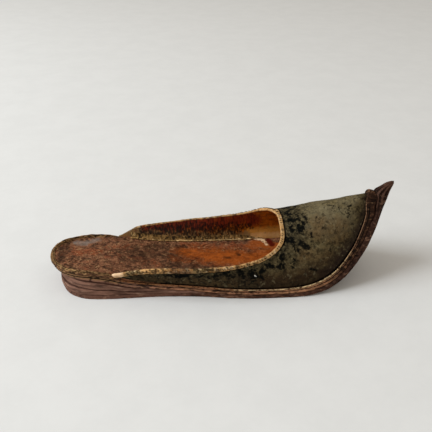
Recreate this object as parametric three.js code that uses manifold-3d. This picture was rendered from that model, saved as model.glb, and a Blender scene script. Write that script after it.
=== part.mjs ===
// A backless slipper with a long pointed toe that turns up into a beak. The heel is a low wedge
// of stacked leather, the vamp is a soft hollow shell that is open at the throat and bound along
// its top edge, and a thin pale rand runs where the vamp meets the welt.
// Millimetres. The toe points along +X, +Z is up and the sole stands on Z = 0.

import * as THREE from 'three';
import { mergeVertices } from 'three/addons/utils/BufferGeometryUtils.js';
import Module from 'manifold-3d';

const wasm = await Module();
wasm.setup();

// Driving sizes
const GAP = 0.3;                // fit left between neighbouring pieces
const WALL = 1.4;               // leather and lining of the upper together
const HEEL_BACK_FLOOR = 7.4;    // back of the heel on the floor, ahead of the rim
const HEEL_BACK_SLOPE = 0.3617; // how far the back of the heel leans out per unit of height
const HEEL_ROUND_END = 35;      // station where the round of the heel ends
const HEEL_ROUNDNESS = 2.25;    // exponent of the heel outline, 2 would be an ellipse
const HEEL_TIP_SHARE = 0.9995;  // share of the heel length at which the outline closes
const HEEL_HOLLOW = 2.6;        // depth of the hollow round the back of the heel, under the welt
const HOLLOW_RISE = [3, 11];    // heights between which the hollow deepens
const HOLLOW_FALL = [13, 18];   // and between which it ends
const HOLLOW_FADE = [10, 34];   // stations between which it runs out along the sides
const LIFT_FACETS = 4;          // facets up the side of a lift and of the welt
const EDGE_EASE = 0.5;          // height of the rounding of the cut leather edges
const EDGE_EASE_LIMIT = 0.3;    // the same at most, as a share of the layer
const EDGE_EASE_IN = 0.8;       // how far the edge is drawn in, as a share of that height
const INSOLE_INSET = 5.4;       // from the sole edge to the insole, inside the upper
const INSOLE_SEAT_INSET = 3.9;  // the same inside the seat rim
const INSOLE_EASE_BACK = 8;     // it starts to narrow this far behind the front of the rim
const INSOLE_EASE_FRONT = 4;    // and ends this far ahead of it
const INSOLE_END = 258;
const LIFT_END = 112;           // the heel wedge runs out here
const LIFT_SPLIT = 0.44;        // share of the wedge that is the lower lift
const LIFT_INSET = 0.2;         // how far the lower lift stands back
const WELT_END = 276.5;         // end of the small lobe of the welt over the toe
const RAND_RADIUS = 0.6;
const RAND_INSET = 0.95;        // sole edge to the middle of the rand
const RAND_BACK = 51;
const RAND_TOE = 271.5;
const RAND_CAP = 2.4;           // the rand crosses the middle this far beyond its last station
const RAND_SIDES = 6;
const RIM_WIDTH = 3.2;
const RIM_HEIGHT = 3;
const RIM_FRONT = 45.5;         // the seat rim ends under the tabs of the binding
const RIM_SIDES = 10;
const RIM_SQUARENESS = 0.6;     // exponent of the rim's section, 1 would be an ellipse
const UPPER_INSET = 2.6;        // sole edge to the outside of the upper
const UPPER_BACK = 46.5;        // back of the side walls
const UPPER_TOE = 271;
const LINING_TOE = 264.5;       // inside end of the toe
const LINING_BACK = 40.5;       // the hollow runs out behind the side walls
const LINING_BELOW = 8;         // and out below their feet
const BINDING_PROUD = 0.3;      // how far the binding stands off the upper
const SECTION_STEPS = 11;       // facets of half a section of the upper
const SECTION_SPACING = 6;      // distance between the sections
const TOPLINE_STEPS = 56;       // facets of the topline
const HEEL_TURNS = [0, 4, 10, 17, 25, 34, 44, 55, 66, 78, 90]; // degrees round the heel with a station
const HEEL_SPACING = 6;         // distance between the stations behind HEEL_FRONT
const HEEL_FRONT = 65;
const WAIST_SPACING = 11;       // the same between there and SPRING_START
const SPRING_START = 172;       // station where the sole begins to rise to the toe
const TOE_SPACING = 5.5;        // the same ahead of there
const STATION_GAP = 1;          // stations closer to the end than this are left out
const WELD = 1e-5;              // points closer than this are one point
const CUT_WIDTH = 120;          // width and height of the tools that cut the topline
const CUT_TOP = 160;

// Sole, one row per station along its bottom from the back of the heel. half: half the width on the
// floor. angle: toe spring in degrees. arch: lift of the bottom. draw: how far the side leans in per
// unit of height. stack: height of the top of the welt. outsole, welt, insole: thickness of the layers.
const SOLE = [
  { s: 0, half: 28, angle: 0, arch: 0, draw: 0.115, stack: 18.8, outsole: 3.2, welt: 4.4, insole: 2.4 },
  { s: 28, half: 28, angle: 0, arch: 0, draw: 0.115, stack: 18.6, outsole: 3.2, welt: 4.4, insole: 2.5 },
  { s: 38, half: 28.5, angle: 0, arch: 0, draw: 0.115, stack: 17.4, outsole: 3.2, welt: 4.2, insole: 3.2 },
  { s: 45, half: 28.7, angle: 0, arch: 0, draw: 0.11, stack: 15.9, outsole: 3.2, welt: 3.9, insole: 4.3 },
  { s: 51, half: 28.7, angle: 0, arch: 0, draw: 0.1, stack: 14.2, outsole: 3.2, welt: 3.6, insole: 5.3 },
  { s: 60, half: 28.5, angle: 0, arch: 0, draw: 0.08, stack: 11.8, outsole: 3.2, welt: 3.2, insole: 6 },
  { s: 73, half: 28.2, angle: 0, arch: 0, draw: 0.04, stack: 10, outsole: 3.2, welt: 2.9, insole: 5.6 },
  { s: 91, half: 28.9, angle: 0, arch: 0.4, draw: 0.01, stack: 8.2, outsole: 3.1, welt: 2.7, insole: 5 },
  { s: 112, half: 30.9, angle: 0, arch: 0.4, draw: 0, stack: 6.9, outsole: 3.1, welt: 2.7, insole: 4.4 },
  { s: 132, half: 33.6, angle: 0, arch: 0, draw: 0, stack: 6.3, outsole: 3.2, welt: 2.8, insole: 3.8 },
  { s: 152, half: 35, angle: 0, arch: 0, draw: 0, stack: 6.1, outsole: 3.2, welt: 2.6, insole: 3.1 },
  { s: 164, half: 35.2, angle: 0, arch: 0, draw: 0, stack: 6.1, outsole: 3.2, welt: 2.6, insole: 2.8 },
  { s: 172, half: 35.2, angle: 0, arch: 0, draw: 0, stack: 6.4, outsole: 3.3, welt: 2.8, insole: 2.6 },
  { s: 184, half: 34.8, angle: 3.9, arch: 0, draw: 0, stack: 7.2, outsole: 3.6, welt: 3.3, insole: 2.5 },
  { s: 198, half: 32.8, angle: 15.7, arch: 0, draw: 0, stack: 8.1, outsole: 4.1, welt: 3.7, insole: 2.4 },
  { s: 212, half: 29.3, angle: 32.6, arch: 0, draw: 0, stack: 8.4, outsole: 4.3, welt: 3.8, insole: 2.4 },
  { s: 226, half: 24, angle: 48, arch: 0, draw: 0, stack: 8.2, outsole: 4.1, welt: 3.8, insole: 2.4 },
  { s: 240, half: 17.8, angle: 57.2, arch: 0, draw: 0, stack: 7.8, outsole: 3.9, welt: 3.6, insole: 2.4 },
  { s: 254, half: 10.9, angle: 63, arch: 0, draw: 0, stack: 8.2, outsole: 4, welt: 3.9, insole: 2.4 },
  { s: 262, half: 7.3, angle: 66.8, arch: 0, draw: 0, stack: 9.2, outsole: 4.5, welt: 4.4, insole: 2.4 },
  { s: 270, half: 4.4, angle: 69.2, arch: 0, draw: 0, stack: 10.9, outsole: 5.8, welt: 4.8, insole: 2.4 },
  { s: 278, half: 2.9, angle: 69.6, arch: 0, draw: 0, stack: 12, outsole: 8.3, welt: 3.4, insole: 2.4 },
  { s: 288, half: 1.1, angle: 61, arch: 0, draw: 0, stack: 12, outsole: 1.6, welt: 3.4, insole: 2.4 },
];
const SOLE_END = SOLE[SOLE.length - 1].s;

// Last, one row per section of the upper. s: station of its foot on the sole. crownX, crownZ: its top
// on the middle plane. wide, up: its shoulder as shares of its half width and height. turn: lean of the
// wall at the shoulder in degrees, inwards when positive. The sections of the side walls flare out and
// run on above the throat, where the topline cuts them off.
const LAST = [
  { s: 40, crownX: 40, crownZ: 46, wide: 1.04, up: 0.14, turn: -12 },
  { s: 48, crownX: 48, crownZ: 46, wide: 1.1, up: 0.16, turn: -26 },
  { s: 56, crownX: 56, crownZ: 47, wide: 1.14, up: 0.25, turn: -28 },
  { s: 68, crownX: 68, crownZ: 48, wide: 1.22, up: 0.36, turn: -27 },
  { s: 80, crownX: 80, crownZ: 49, wide: 1.28, up: 0.42, turn: -27 },
  { s: 100, crownX: 100, crownZ: 50, wide: 1.29, up: 0.47, turn: -24 },
  { s: 118, crownX: 118, crownZ: 50, wide: 1.2, up: 0.52, turn: -14 },
  { s: 132, crownX: 132, crownZ: 49.5, wide: 1.1, up: 0.59, turn: 0 },
  { s: 146, crownX: 146, crownZ: 48.5, wide: 0.97, up: 0.68, turn: 16 },
  { s: 160, crownX: 159, crownZ: 47.6, wide: 0.84, up: 0.74, turn: 31 },
  { s: 172, crownX: 169.5, crownZ: 48.6, wide: 0.77, up: 0.75, turn: 38 },
  { s: 186, crownX: 180.5, crownZ: 51.6, wide: 0.75, up: 0.74, turn: 35 },
  { s: 200, crownX: 190.5, crownZ: 54.4, wide: 0.74, up: 0.73, turn: 33 },
  { s: 213, crownX: 199.5, crownZ: 56.8, wide: 0.73, up: 0.73, turn: 31 },
  { s: 226, crownX: 208, crownZ: 58.9, wide: 0.73, up: 0.72, turn: 28 },
  { s: 238, crownX: 215.5, crownZ: 60.8, wide: 0.73, up: 0.72, turn: 25 },
  { s: 249, crownX: 222, crownZ: 62.4, wide: 0.73, up: 0.72, turn: 21 },
  { s: 259, crownX: 226.6, crownZ: 63.5, wide: 0.73, up: 0.72, turn: 18 },
  { s: 266, crownX: 229.1, crownZ: 64.2, wide: 0.73, up: 0.72, turn: 18 },
  { s: 271, crownX: 230.4, crownZ: 64.6, wide: 0.73, up: 0.72, turn: 18 },
];

// Topline seen from the side, from behind the tabs to the front of the throat. band: width of the binding.
const TOPLINE = [
  { x: 40, z: 18.4, band: 3.2 },
  { x: 48, z: 19.8, band: 3.3 },
  { x: 56, z: 22.5, band: 3.9 },
  { x: 64, z: 25.1, band: 4.5 },
  { x: 72, z: 26.4, band: 4.6 },
  { x: 80, z: 26.8, band: 4.5 },
  { x: 88, z: 26.8, band: 4.2 },
  { x: 97, z: 26.6, band: 3.7 },
  { x: 107, z: 26.6, band: 3.2 },
  { x: 117, z: 27.3, band: 3 },
  { x: 127, z: 28.4, band: 2.7 },
  { x: 136, z: 29.7, band: 2.4 },
  { x: 144, z: 31.6, band: 2.2 },
  { x: 150.5, z: 34, band: 2.2 },
  { x: 156, z: 36.9, band: 2.1 },
  { x: 160.3, z: 39.9, band: 2.1 },
  { x: 163.3, z: 43, band: 2 },
  { x: 165.4, z: 46, band: 2 },
  { x: 167.1, z: 48.4, band: 2 },
  { x: 168, z: 54, band: 2 },
];

// A smooth curve through one column of a table; it never overshoots the rows.
function column(table, at, name) {
  const xs = table.map((row) => row[at]);
  const ys = table.map((row) => row[name]);
  const end = xs.length - 1;
  const secant = (i) => (ys[i + 1] - ys[i]) / (xs[i + 1] - xs[i]);
  const slopes = xs.map((_, i) => {
    if (i === 0) return secant(0);
    if (i === end) return secant(end - 1);
    const before = secant(i - 1);
    const after = secant(i);
    return before * after <= 0 ? 0 : (2 * before * after) / (before + after);
  });
  return (x) => {
    const clamped = Math.min(Math.max(x, xs[0]), xs[end]);
    let i = 0;
    while (i < end - 1 && clamped > xs[i + 1]) i += 1;
    const span = xs[i + 1] - xs[i];
    const t = (clamped - xs[i]) / span;
    const t2 = t * t;
    const t3 = t2 * t;
    const rise = (2 * t3 - 3 * t2 + 1) * ys[i] + (3 * t2 - 2 * t3) * ys[i + 1];
    return rise + span * ((t3 - 2 * t2 + t) * slopes[i] + (t3 - t2) * slopes[i + 1]);
  };
}

const sole = {};
for (const name of ['half', 'angle', 'arch', 'draw', 'stack', 'outsole', 'welt', 'insole']) {
  sole[name] = column(SOLE, 's', name);
}
const last = {};
for (const name of ['crownX', 'crownZ', 'wide', 'up', 'turn']) {
  last[name] = column(LAST, 's', name);
}

// The bottom line of the sole on the middle plane, walked in short steps along its angle.
const WALK = 0.25;
const bottomLine = [{ x: 0, z: 0 }];
for (let s = 0; s < SOLE_END; s += WALK) {
  const angle = THREE.MathUtils.degToRad(sole.angle(s + WALK / 2));
  const here = bottomLine[bottomLine.length - 1];
  bottomLine.push({ x: here.x + Math.cos(angle) * WALK, z: here.z + Math.sin(angle) * WALK });
}

function bottomAt(s) {
  const place = Math.min(s / WALK, bottomLine.length - 1.001);
  const i = Math.floor(place);
  const t = place - i;
  const a = bottomLine[i];
  const b = bottomLine[i + 1];
  return { x: a.x + (b.x - a.x) * t, z: a.z + (b.z - a.z) * t + sole.arch(s) };
}

// A point at a lateral place y, raised off the bottom at station s.
function raised(s, y, height) {
  const angle = THREE.MathUtils.degToRad(sole.angle(s));
  const base = bottomAt(s);
  return new THREE.Vector3(base.x - Math.sin(angle) * height, y, base.z + Math.cos(angle) * height);
}

// A point of the sole's edge: side -1 is right, 1 is left; inset is measured square to the outline.
function edge(s, side, inset, height) {
  const half = sole.half(s) - sole.draw(s) * height - inset;
  if (s >= HEEL_ROUND_END) return raised(s, side * half, height);
  const share = (HEEL_ROUND_END - s) / (HEEL_ROUND_END - HEEL_BACK_FLOOR);
  const back = HEEL_BACK_FLOOR - HEEL_BACK_SLOPE * height + inset;
  const y = half * Math.pow(1 - Math.pow(share, HEEL_ROUNDNESS), 1 / HEEL_ROUNDNESS);
  const point = raised(s, side * y, height);
  point.x = HEEL_ROUND_END - share * (HEEL_ROUND_END - back);
  return point;
}

// Stations from the back of the heel to a given end, close together in the heel round and the toe.
function stations(end, begin = HEEL_BACK_FLOOR) {
  const list = [];
  const round = HEEL_ROUND_END - HEEL_BACK_FLOOR;
  for (const degrees of HEEL_TURNS) {
    const share = Math.pow(Math.cos(THREE.MathUtils.degToRad(degrees)), 2 / HEEL_ROUNDNESS);
    list.push(HEEL_ROUND_END - round * Math.min(share, HEEL_TIP_SHARE));
  }
  let s = HEEL_ROUND_END + HEEL_SPACING;
  while (s < SPRING_START) {
    list.push(s);
    s += s < HEEL_FRONT ? HEEL_SPACING : WAIST_SPACING;
  }
  for (s = SPRING_START; s < end; s += TOE_SPACING) list.push(s);
  const kept = list.filter((station) => station > begin && station < end - STATION_GAP);
  if (begin > HEEL_BACK_FLOOR) kept.unshift(begin);
  return [...kept, end];
}

function meshGeometry(points, faces) {
  const geometry = new THREE.BufferGeometry();
  geometry.setAttribute('position', new THREE.Float32BufferAttribute(points.flatMap((p) => p.toArray()), 3));
  geometry.setIndex(faces.flat());
  return geometry;
}

// A closed solid from rings of equal length, the first one at the bottom. Each ring runs along the
// right side to the toe and back along the left, so both ends are closed by strips across.
function stacked(rings) {
  const count = rings[0].length;
  const stationsPerSide = count / 2;
  const points = rings.flat();
  const faces = [];
  for (let r = 0; r + 1 < rings.length; r += 1) {
    for (let i = 0; i < count; i += 1) {
      const next = (i + 1) % count;
      const a = r * count + i;
      const b = r * count + next;
      faces.push([a, b, b + count], [a, b + count, a + count]);
    }
  }
  const top = (rings.length - 1) * count;
  for (let i = 0; i + 1 < stationsPerSide; i += 1) {
    const across = count - 1 - i;
    faces.push([i, across, across - 1], [i, across - 1, i + 1]);
    faces.push([top + i, top + i + 1, top + across - 1], [top + i, top + across - 1, top + across]);
  }
  return meshGeometry(points, faces);
}

// How far the back of the heel is hollowed at a station and a height.
function heelHollow(s, height) {
  const between = THREE.MathUtils.smoothstep;
  const level = between(height, ...HOLLOW_RISE) * (1 - between(height, ...HOLLOW_FALL));
  return HEEL_HOLLOW * level * (1 - between(s, ...HOLLOW_FADE));
}

// A layer of the sole between two height functions, with eased edges and facets up its side.
function layer(list, inset, bottom, top, facets = 1) {
  const ring = (share, drawn) => {
    const at = (s, side) => {
      const low = bottom(s);
      const high = top(s);
      const soft = Math.min(EDGE_EASE, (high - low) * EDGE_EASE_LIMIT);
      const kept = drawn ? 0 : soft;
      const height = low + kept + (high - low - 2 * kept) * share;
      return edge(s, side, inset(s) + heelHollow(s, height) + drawn * soft, height);
    };
    const right = list.map((s) => at(s, -1));
    const left = list.map((s) => at(s, 1));
    return [...right, ...left.reverse()];
  };
  const rings = [ring(0, EDGE_EASE_IN)];
  for (let k = 0; k <= facets; k += 1) rings.push(ring(k / facets, 0));
  return stacked([...rings, ring(1, EDGE_EASE_IN)]);
}

// A round strip swept along a path of {point, up} on the sole.
function strip(path, outline) {
  const points = [];
  const faces = [];
  const count = outline.length;
  path.forEach(({ point, up }, i) => {
    const before = path[Math.max(i - 1, 0)].point;
    const after = path[Math.min(i + 1, path.length - 1)].point;
    const along = after.clone().sub(before).normalize();
    const across = along.clone().cross(up).normalize();
    const square = across.clone().cross(along);
    for (const [u, v] of outline) {
      points.push(point.clone().addScaledVector(across, u).addScaledVector(square, v));
    }
  });
  for (let i = 0; i + 1 < path.length; i += 1) {
    for (let k = 0; k < count; k += 1) {
      const next = (k + 1) % count;
      const a = i * count + k;
      const b = i * count + next;
      faces.push([a, a + count, b + count], [a, b + count, b]);
    }
  }
  const end = (path.length - 1) * count;
  for (let k = 1; k + 1 < count; k += 1) {
    faces.push([0, k, k + 1], [end, end + k + 1, end + k]);
  }
  return meshGeometry(points, faces);
}

// Half of one section in its own plane, from the foot of the wall to the crown: [half width, height].
// The curve leaves the foot along the wall, passes the shoulder and arrives level at the crown.
function halfSection(half, height, shape, grow) {
  const foot = new THREE.Vector2(half, 0);
  const shoulder = new THREE.Vector2(half * shape.wide, height * shape.up);
  const crown = new THREE.Vector2(0, height);
  const low = shoulder.distanceTo(foot);
  const high = crown.distanceTo(shoulder);
  const turn = THREE.MathUtils.degToRad(shape.turn);
  const pass = new THREE.Vector2(-Math.sin(turn), Math.cos(turn));
  const chord = shoulder.clone().sub(foot).normalize();
  const leave = chord.clone().multiplyScalar(2 * chord.dot(pass)).sub(pass).multiplyScalar(low);
  const arrive = pass.clone().multiplyScalar(low);
  const passOn = pass.clone().multiplyScalar(high);
  const level = new THREE.Vector2(-high, 0);
  const hermite = (p, q, m, n, t) => {
    const t2 = t * t;
    const t3 = t2 * t;
    return p.clone().multiplyScalar(2 * t3 - 3 * t2 + 1).addScaledVector(q, 3 * t2 - 2 * t3)
      .addScaledVector(m, t3 - 2 * t2 + t).addScaledVector(n, t3 - t2);
  };
  const curve = (t) => (t < 0.5
    ? hermite(foot, shoulder, leave, arrive, t * 2)
    : hermite(shoulder, crown, passOn, level, t * 2 - 1));
  const near = 0.01;
  const list = [];
  for (let i = 0; i <= SECTION_STEPS; i += 1) {
    const t = i / SECTION_STEPS;
    const along = curve(Math.min(t + near, 1)).sub(curve(Math.max(t - near, 0)));
    const normal = new THREE.Vector2(along.y, -along.x).normalize();
    if (i === SECTION_STEPS) normal.set(0, 1);
    list.push(curve(t).addScaledVector(normal, grow));
  }
  return list;
}

// One section of the upper as points from the right foot over the crown to the left foot. grow moves
// the wall out, or in when it is negative; below lengthens the feet downwards.
function section(s, grow, below) {
  const lift = sole.stack(s) + GAP;
  const middle = raised(s, 0, lift);
  const crown = new THREE.Vector3(last.crownX(s), 0, last.crownZ(s));
  const upward = crown.clone().sub(middle);
  const height = upward.length();
  upward.normalize();
  const half = Math.abs(edge(s, 1, UPPER_INSET, lift).y);
  const shape = { wide: last.wide(s), up: last.up(s), turn: last.turn(s) };
  const side = halfSection(half, height, shape, grow);
  if (below > 0) side.unshift(new THREE.Vector2(side[0].x, -below));
  const place = (p, sign) => {
    const point = middle.clone().addScaledVector(upward, p.y);
    return point.setY(sign * p.x);
  };
  const right = side.map((p) => place(p, -1));
  const left = side.slice(0, -1).map((p) => place(p, 1));
  return [...right, ...left.reverse()];
}

// A filled solid through the sections between two stations.
function lastSolid(begin, end, grow, below) {
  const list = [begin];
  for (const row of LAST.slice(1)) {
    const previous = list[list.length - 1];
    const stop = Math.min(row.s, end);
    const steps = Math.max(Math.round((stop - previous) / SECTION_SPACING), 1);
    if (stop - previous > STATION_GAP) {
      for (let k = 1; k <= steps; k += 1) list.push(previous + ((stop - previous) * k) / steps);
    }
  }
  const sections = list.map((s) => section(s, grow, below));
  const count = sections[0].length;
  const points = sections.flat();
  const faces = [];
  for (let i = 0; i + 1 < sections.length; i += 1) {
    for (let k = 0; k < count; k += 1) {
      const next = (k + 1) % count;
      const a = i * count + k;
      const b = i * count + next;
      faces.push([a, b + count, b], [a, a + count, b + count]);
    }
  }
  const front = (sections.length - 1) * count;
  for (let k = 0; k < (count - 1) / 2; k += 1) {
    const across = count - 1 - k;
    const whole = across - 1 > k + 1;
    const bridge = whole ? [[k, across - 1, k + 1], [k, across, across - 1]] : [[k, across, k + 1]];
    for (const [a, b, c] of bridge) {
      faces.push([a, c, b], [front + a, front + b, front + c]);
    }
  }
  return meshGeometry(points, faces);
}

// The topline as a list of points, moved into the upper by a share of the band and a distance more.
function topline(bandShare, more) {
  const curve = new THREE.CatmullRomCurve3(
    TOPLINE.map(({ x, z, band }) => new THREE.Vector3(x, z, band)), false, 'centripetal');
  const list = [];
  for (let i = 0; i <= TOPLINE_STEPS; i += 1) {
    const point = curve.getPoint(i / TOPLINE_STEPS);
    const along = curve.getTangent(i / TOPLINE_STEPS).setZ(0).normalize();
    const inward = point.z * bandShare + more;
    list.push(new THREE.Vector2(point.x + along.y * inward, point.y - along.x * inward));
  }
  return list;
}

// A prism across the shoe from an outline seen from the side.
function prism(outline) {
  const size = { depth: CUT_WIDTH, bevelEnabled: false };
  const geometry = new THREE.ExtrudeGeometry(new THREE.Shape(outline), size);
  geometry.rotateX(Math.PI / 2);
  geometry.translate(0, CUT_WIDTH / 2, 0);
  return geometry;
}

// All that lies above the lower edge of the binding.
function aboveBand() {
  const line = topline(1, GAP);
  const front = line[line.length - 1];
  return prism([...line, new THREE.Vector2(front.x, CUT_TOP), new THREE.Vector2(line[0].x, CUT_TOP)]);
}

function toManifold(geometry) {
  const bare = geometry.clone();
  bare.deleteAttribute('normal');
  bare.deleteAttribute('uv');
  const merged = mergeVertices(bare, WELD);
  return new wasm.Manifold(new wasm.Mesh({
    numProp: 3,
    vertProperties: new Float32Array(merged.attributes.position.array),
    triVerts: new Uint32Array(merged.index.array),
  }));
}

function toGeometry(solid) {
  const mesh = solid.getMesh();
  const geometry = new THREE.BufferGeometry();
  const points = [];
  for (let i = 0; i < mesh.vertProperties.length; i += mesh.numProp) {
    points.push(mesh.vertProperties[i], mesh.vertProperties[i + 1], mesh.vertProperties[i + 2]);
  }
  geometry.setAttribute('position', new THREE.Float32BufferAttribute(points, 3));
  geometry.setIndex(Array.from(mesh.triVerts));
  return geometry;
}

const slipper = new THREE.Group();
slipper.name = 'pointed_slipper';

function add(name, geometry, color, roughness) {
  const flat = geometry.toNonIndexed();
  flat.computeVertexNormals();
  const mesh = new THREE.Mesh(flat, new THREE.MeshStandardMaterial({ color, roughness, metalness: 0 }));
  mesh.name = name;
  slipper.add(mesh);
}

// Sole: outsole up to the beak, the two lifts of the heel wedge, and the welt.
const none = () => 0;
const outsoleTop = (s) => sole.outsole(s);
const weltBottom = (s) => sole.stack(s) - sole.welt(s);
add('outsole', layer(stations(SOLE_END), none, none, outsoleTop), '#3b241b', 0.75);

const wedgeLow = (s) => outsoleTop(s) + GAP;
const wedgeHigh = (s) => weltBottom(s) - GAP;
const split = (s) => wedgeLow(s) + (wedgeHigh(s) - wedgeLow(s)) * LIFT_SPLIT;
const liftStations = stations(LIFT_END);
const liftInset = () => LIFT_INSET;
const lowerLift = layer(liftStations, liftInset, wedgeLow, (s) => split(s) - GAP / 4, LIFT_FACETS);
add('heel_lift_lower', lowerLift, '#5a372b', 0.7);
const upperLift = layer(liftStations, none, (s) => split(s) + GAP / 4, wedgeHigh, LIFT_FACETS);
add('heel_lift_upper', upperLift, '#62392d', 0.7);
const welt = layer(stations(WELT_END), none, weltBottom, (s) => sole.stack(s), LIFT_FACETS);
add('welt', welt, '#5b3527', 0.7);

// Insole, narrower inside the upper than inside the seat rim.
const insoleInset = column(
  [
    { s: 0, inset: INSOLE_SEAT_INSET },
    { s: RIM_FRONT - INSOLE_EASE_BACK, inset: INSOLE_SEAT_INSET },
    { s: RIM_FRONT + INSOLE_EASE_FRONT, inset: INSOLE_INSET },
    { s: SOLE_END, inset: INSOLE_INSET },
  ], 's', 'inset');
const insoleLow = (s) => sole.stack(s) + GAP;
add('insole', layer(stations(INSOLE_END), insoleInset, insoleLow, (s) => insoleLow(s) + sole.insole(s)),
  '#7a3d22', 0.6);

// Seat rim: a rolled edge of leather round the heel seat, from tab to tab.
function soleNormal(s) {
  const angle = THREE.MathUtils.degToRad(sole.angle(s));
  return new THREE.Vector3(-Math.sin(angle), 0, Math.cos(angle));
}
function soleEdgePath(list, inset, height) {
  const right = list.map((s) => ({ point: edge(s, -1, inset, height(s)), up: soleNormal(s) }));
  const left = list.map((s) => ({ point: edge(s, 1, inset, height(s)), up: soleNormal(s) }));
  return { right, left };
}
const rimHeight = (s) => sole.stack(s) + GAP + RIM_HEIGHT / 2;
const rimSides = soleEdgePath(stations(RIM_FRONT), RIM_WIDTH / 2, rimHeight);
const rimOutline = [];
for (let k = 0; k < RIM_SIDES; k += 1) {
  const turn = ((k + 0.5) * 2 * Math.PI) / RIM_SIDES;
  const round = (v) => Math.sign(v) * Math.pow(Math.abs(v), RIM_SQUARENESS);
  rimOutline.push([round(Math.cos(turn)) * RIM_WIDTH / 2, round(Math.sin(turn)) * RIM_HEIGHT / 2]);
}
add('seat_rim', strip([...rimSides.right.reverse(), ...rimSides.left], rimOutline), '#6b5638', 0.6);

// Rand: a thin pale piping on the welt along the foot of the upper, over the toe and back.
const randHeight = (s) => sole.stack(s) + GAP / 2 + RAND_RADIUS;
const randSides = soleEdgePath(stations(RAND_TOE, RAND_BACK), RAND_INSET, randHeight);
const randEnd = RAND_TOE + RAND_CAP;
const randTop = { point: raised(randEnd, 0, randHeight(randEnd)), up: soleNormal(randEnd) };
const randOutline = [];
for (let k = 0; k < RAND_SIDES; k += 1) {
  const turn = (k * 2 * Math.PI) / RAND_SIDES;
  randOutline.push([Math.cos(turn) * RAND_RADIUS, Math.sin(turn) * RAND_RADIUS]);
}
add('rand', strip([...randSides.right, randTop, ...randSides.left.reverse()], randOutline), '#b89662', 0.65);

// Upper: the shell between two lasts, closed at the toe, open below and behind, cut at the topline.
const outside = toManifold(lastSolid(UPPER_BACK, UPPER_TOE, 0, 0));
const inside = toManifold(lastSolid(LINING_BACK, LINING_TOE, -WALL, LINING_BELOW));
const upper = outside.subtract(inside).subtract(toManifold(aboveBand()));
add('upper', toGeometry(upper), '#3a3a2a', 0.85);

// Binding: a band of the same shell, a little thicker, between the topline and the upper's edge.
const proud = toManifold(lastSolid(UPPER_BACK, UPPER_TOE, BINDING_PROUD, 0));
const within = toManifold(lastSolid(LINING_BACK, LINING_TOE, -WALL - BINDING_PROUD, LINING_BELOW));
const band = toManifold(prism([...topline(0, 0), ...topline(1, 0).reverse()]));
add('topline_binding', toGeometry(proud.subtract(within).intersect(band)), '#b08a5e', 0.65);

// The origin is the middle of the bottom of the whole shoe.
const box = new THREE.Box3().setFromObject(slipper);
const middle = box.getCenter(new THREE.Vector3());
for (const mesh of slipper.children) mesh.geometry.translate(-middle.x, -middle.y, -box.min.z);

export default slipper;
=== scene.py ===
"""Looks of a pointed leather slipper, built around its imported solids: worn nap over a leather vamp,
a stitched pale binding, a lined inside, a stacked heel and a folded beak."""

import math

import bpy
import numpy as np
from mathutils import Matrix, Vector, noise


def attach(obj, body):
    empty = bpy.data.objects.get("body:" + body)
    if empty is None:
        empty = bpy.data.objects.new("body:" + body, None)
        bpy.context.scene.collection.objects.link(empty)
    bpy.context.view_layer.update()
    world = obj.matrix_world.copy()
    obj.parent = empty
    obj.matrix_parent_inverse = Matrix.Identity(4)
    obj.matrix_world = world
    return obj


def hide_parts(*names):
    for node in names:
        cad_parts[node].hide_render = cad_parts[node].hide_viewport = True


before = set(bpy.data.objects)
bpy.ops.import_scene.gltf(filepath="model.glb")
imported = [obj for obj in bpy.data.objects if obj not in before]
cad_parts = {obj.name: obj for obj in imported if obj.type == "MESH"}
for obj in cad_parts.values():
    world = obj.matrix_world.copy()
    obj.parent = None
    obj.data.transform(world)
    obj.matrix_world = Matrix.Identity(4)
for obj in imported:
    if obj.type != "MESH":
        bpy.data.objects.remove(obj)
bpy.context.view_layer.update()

bl_info = {
    "name": "Pointed slipper",
    "version": (1, 0, 0),
    "blender": (4, 5, 0),
    "location": "View3D > Sidebar > Slipper",
    "description": "Dresses the solids of a pointed slipper in its worn leathers, seams and stitches",
    "category": "Object",
}

# Sizes are in millimetres from the back of the heel, as in the part's source, until a piece is placed.
# A station is a distance along the bottom of the sole. A span is the pair of values between which
# something comes in or goes out.
MM = 0.001
MIDDLE_X = 124.879              # the frame's origin is this far ahead of the back of the heel
MERGE = 0.000002                # metres between points that are one point
RIGHT = -1.0                    # the two sides, as signs of y
LEFT = 1.0
FULL_TURN = 2 * math.pi

GAP = 0.3
WALL = 1.4
HEEL_BACK_FLOOR = 7.4
HEEL_BACK_SLOPE = 0.3617
HEEL_ROUND_END = 35.0
HEEL_ROUNDNESS = 2.25
HEEL_SLEW = 0.13                # the old seat has slewed back on its left side
SLEW_FOOT = 0.3                 # share of that at the heel's foot
SLEW_SPAN = (7, 16)             # heights over which the rest comes in
LIFT_END = 112.0
LIFT_SPLIT = 0.44
WELT_END = 278.3
INSOLE_END = 258.0
RIM_WIDTH = 3.2
RIM_HEIGHT = 3.0
RAND_RADIUS = 0.6
RAND_INSET = 0.95
RAND_BACK = 51.0
RAND_TOE = 271.5
UPPER_INSET = 2.6
UPPER_BACK = 46.5
UPPER_TOE = 271.0
LINING_TOE = 264.5

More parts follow.
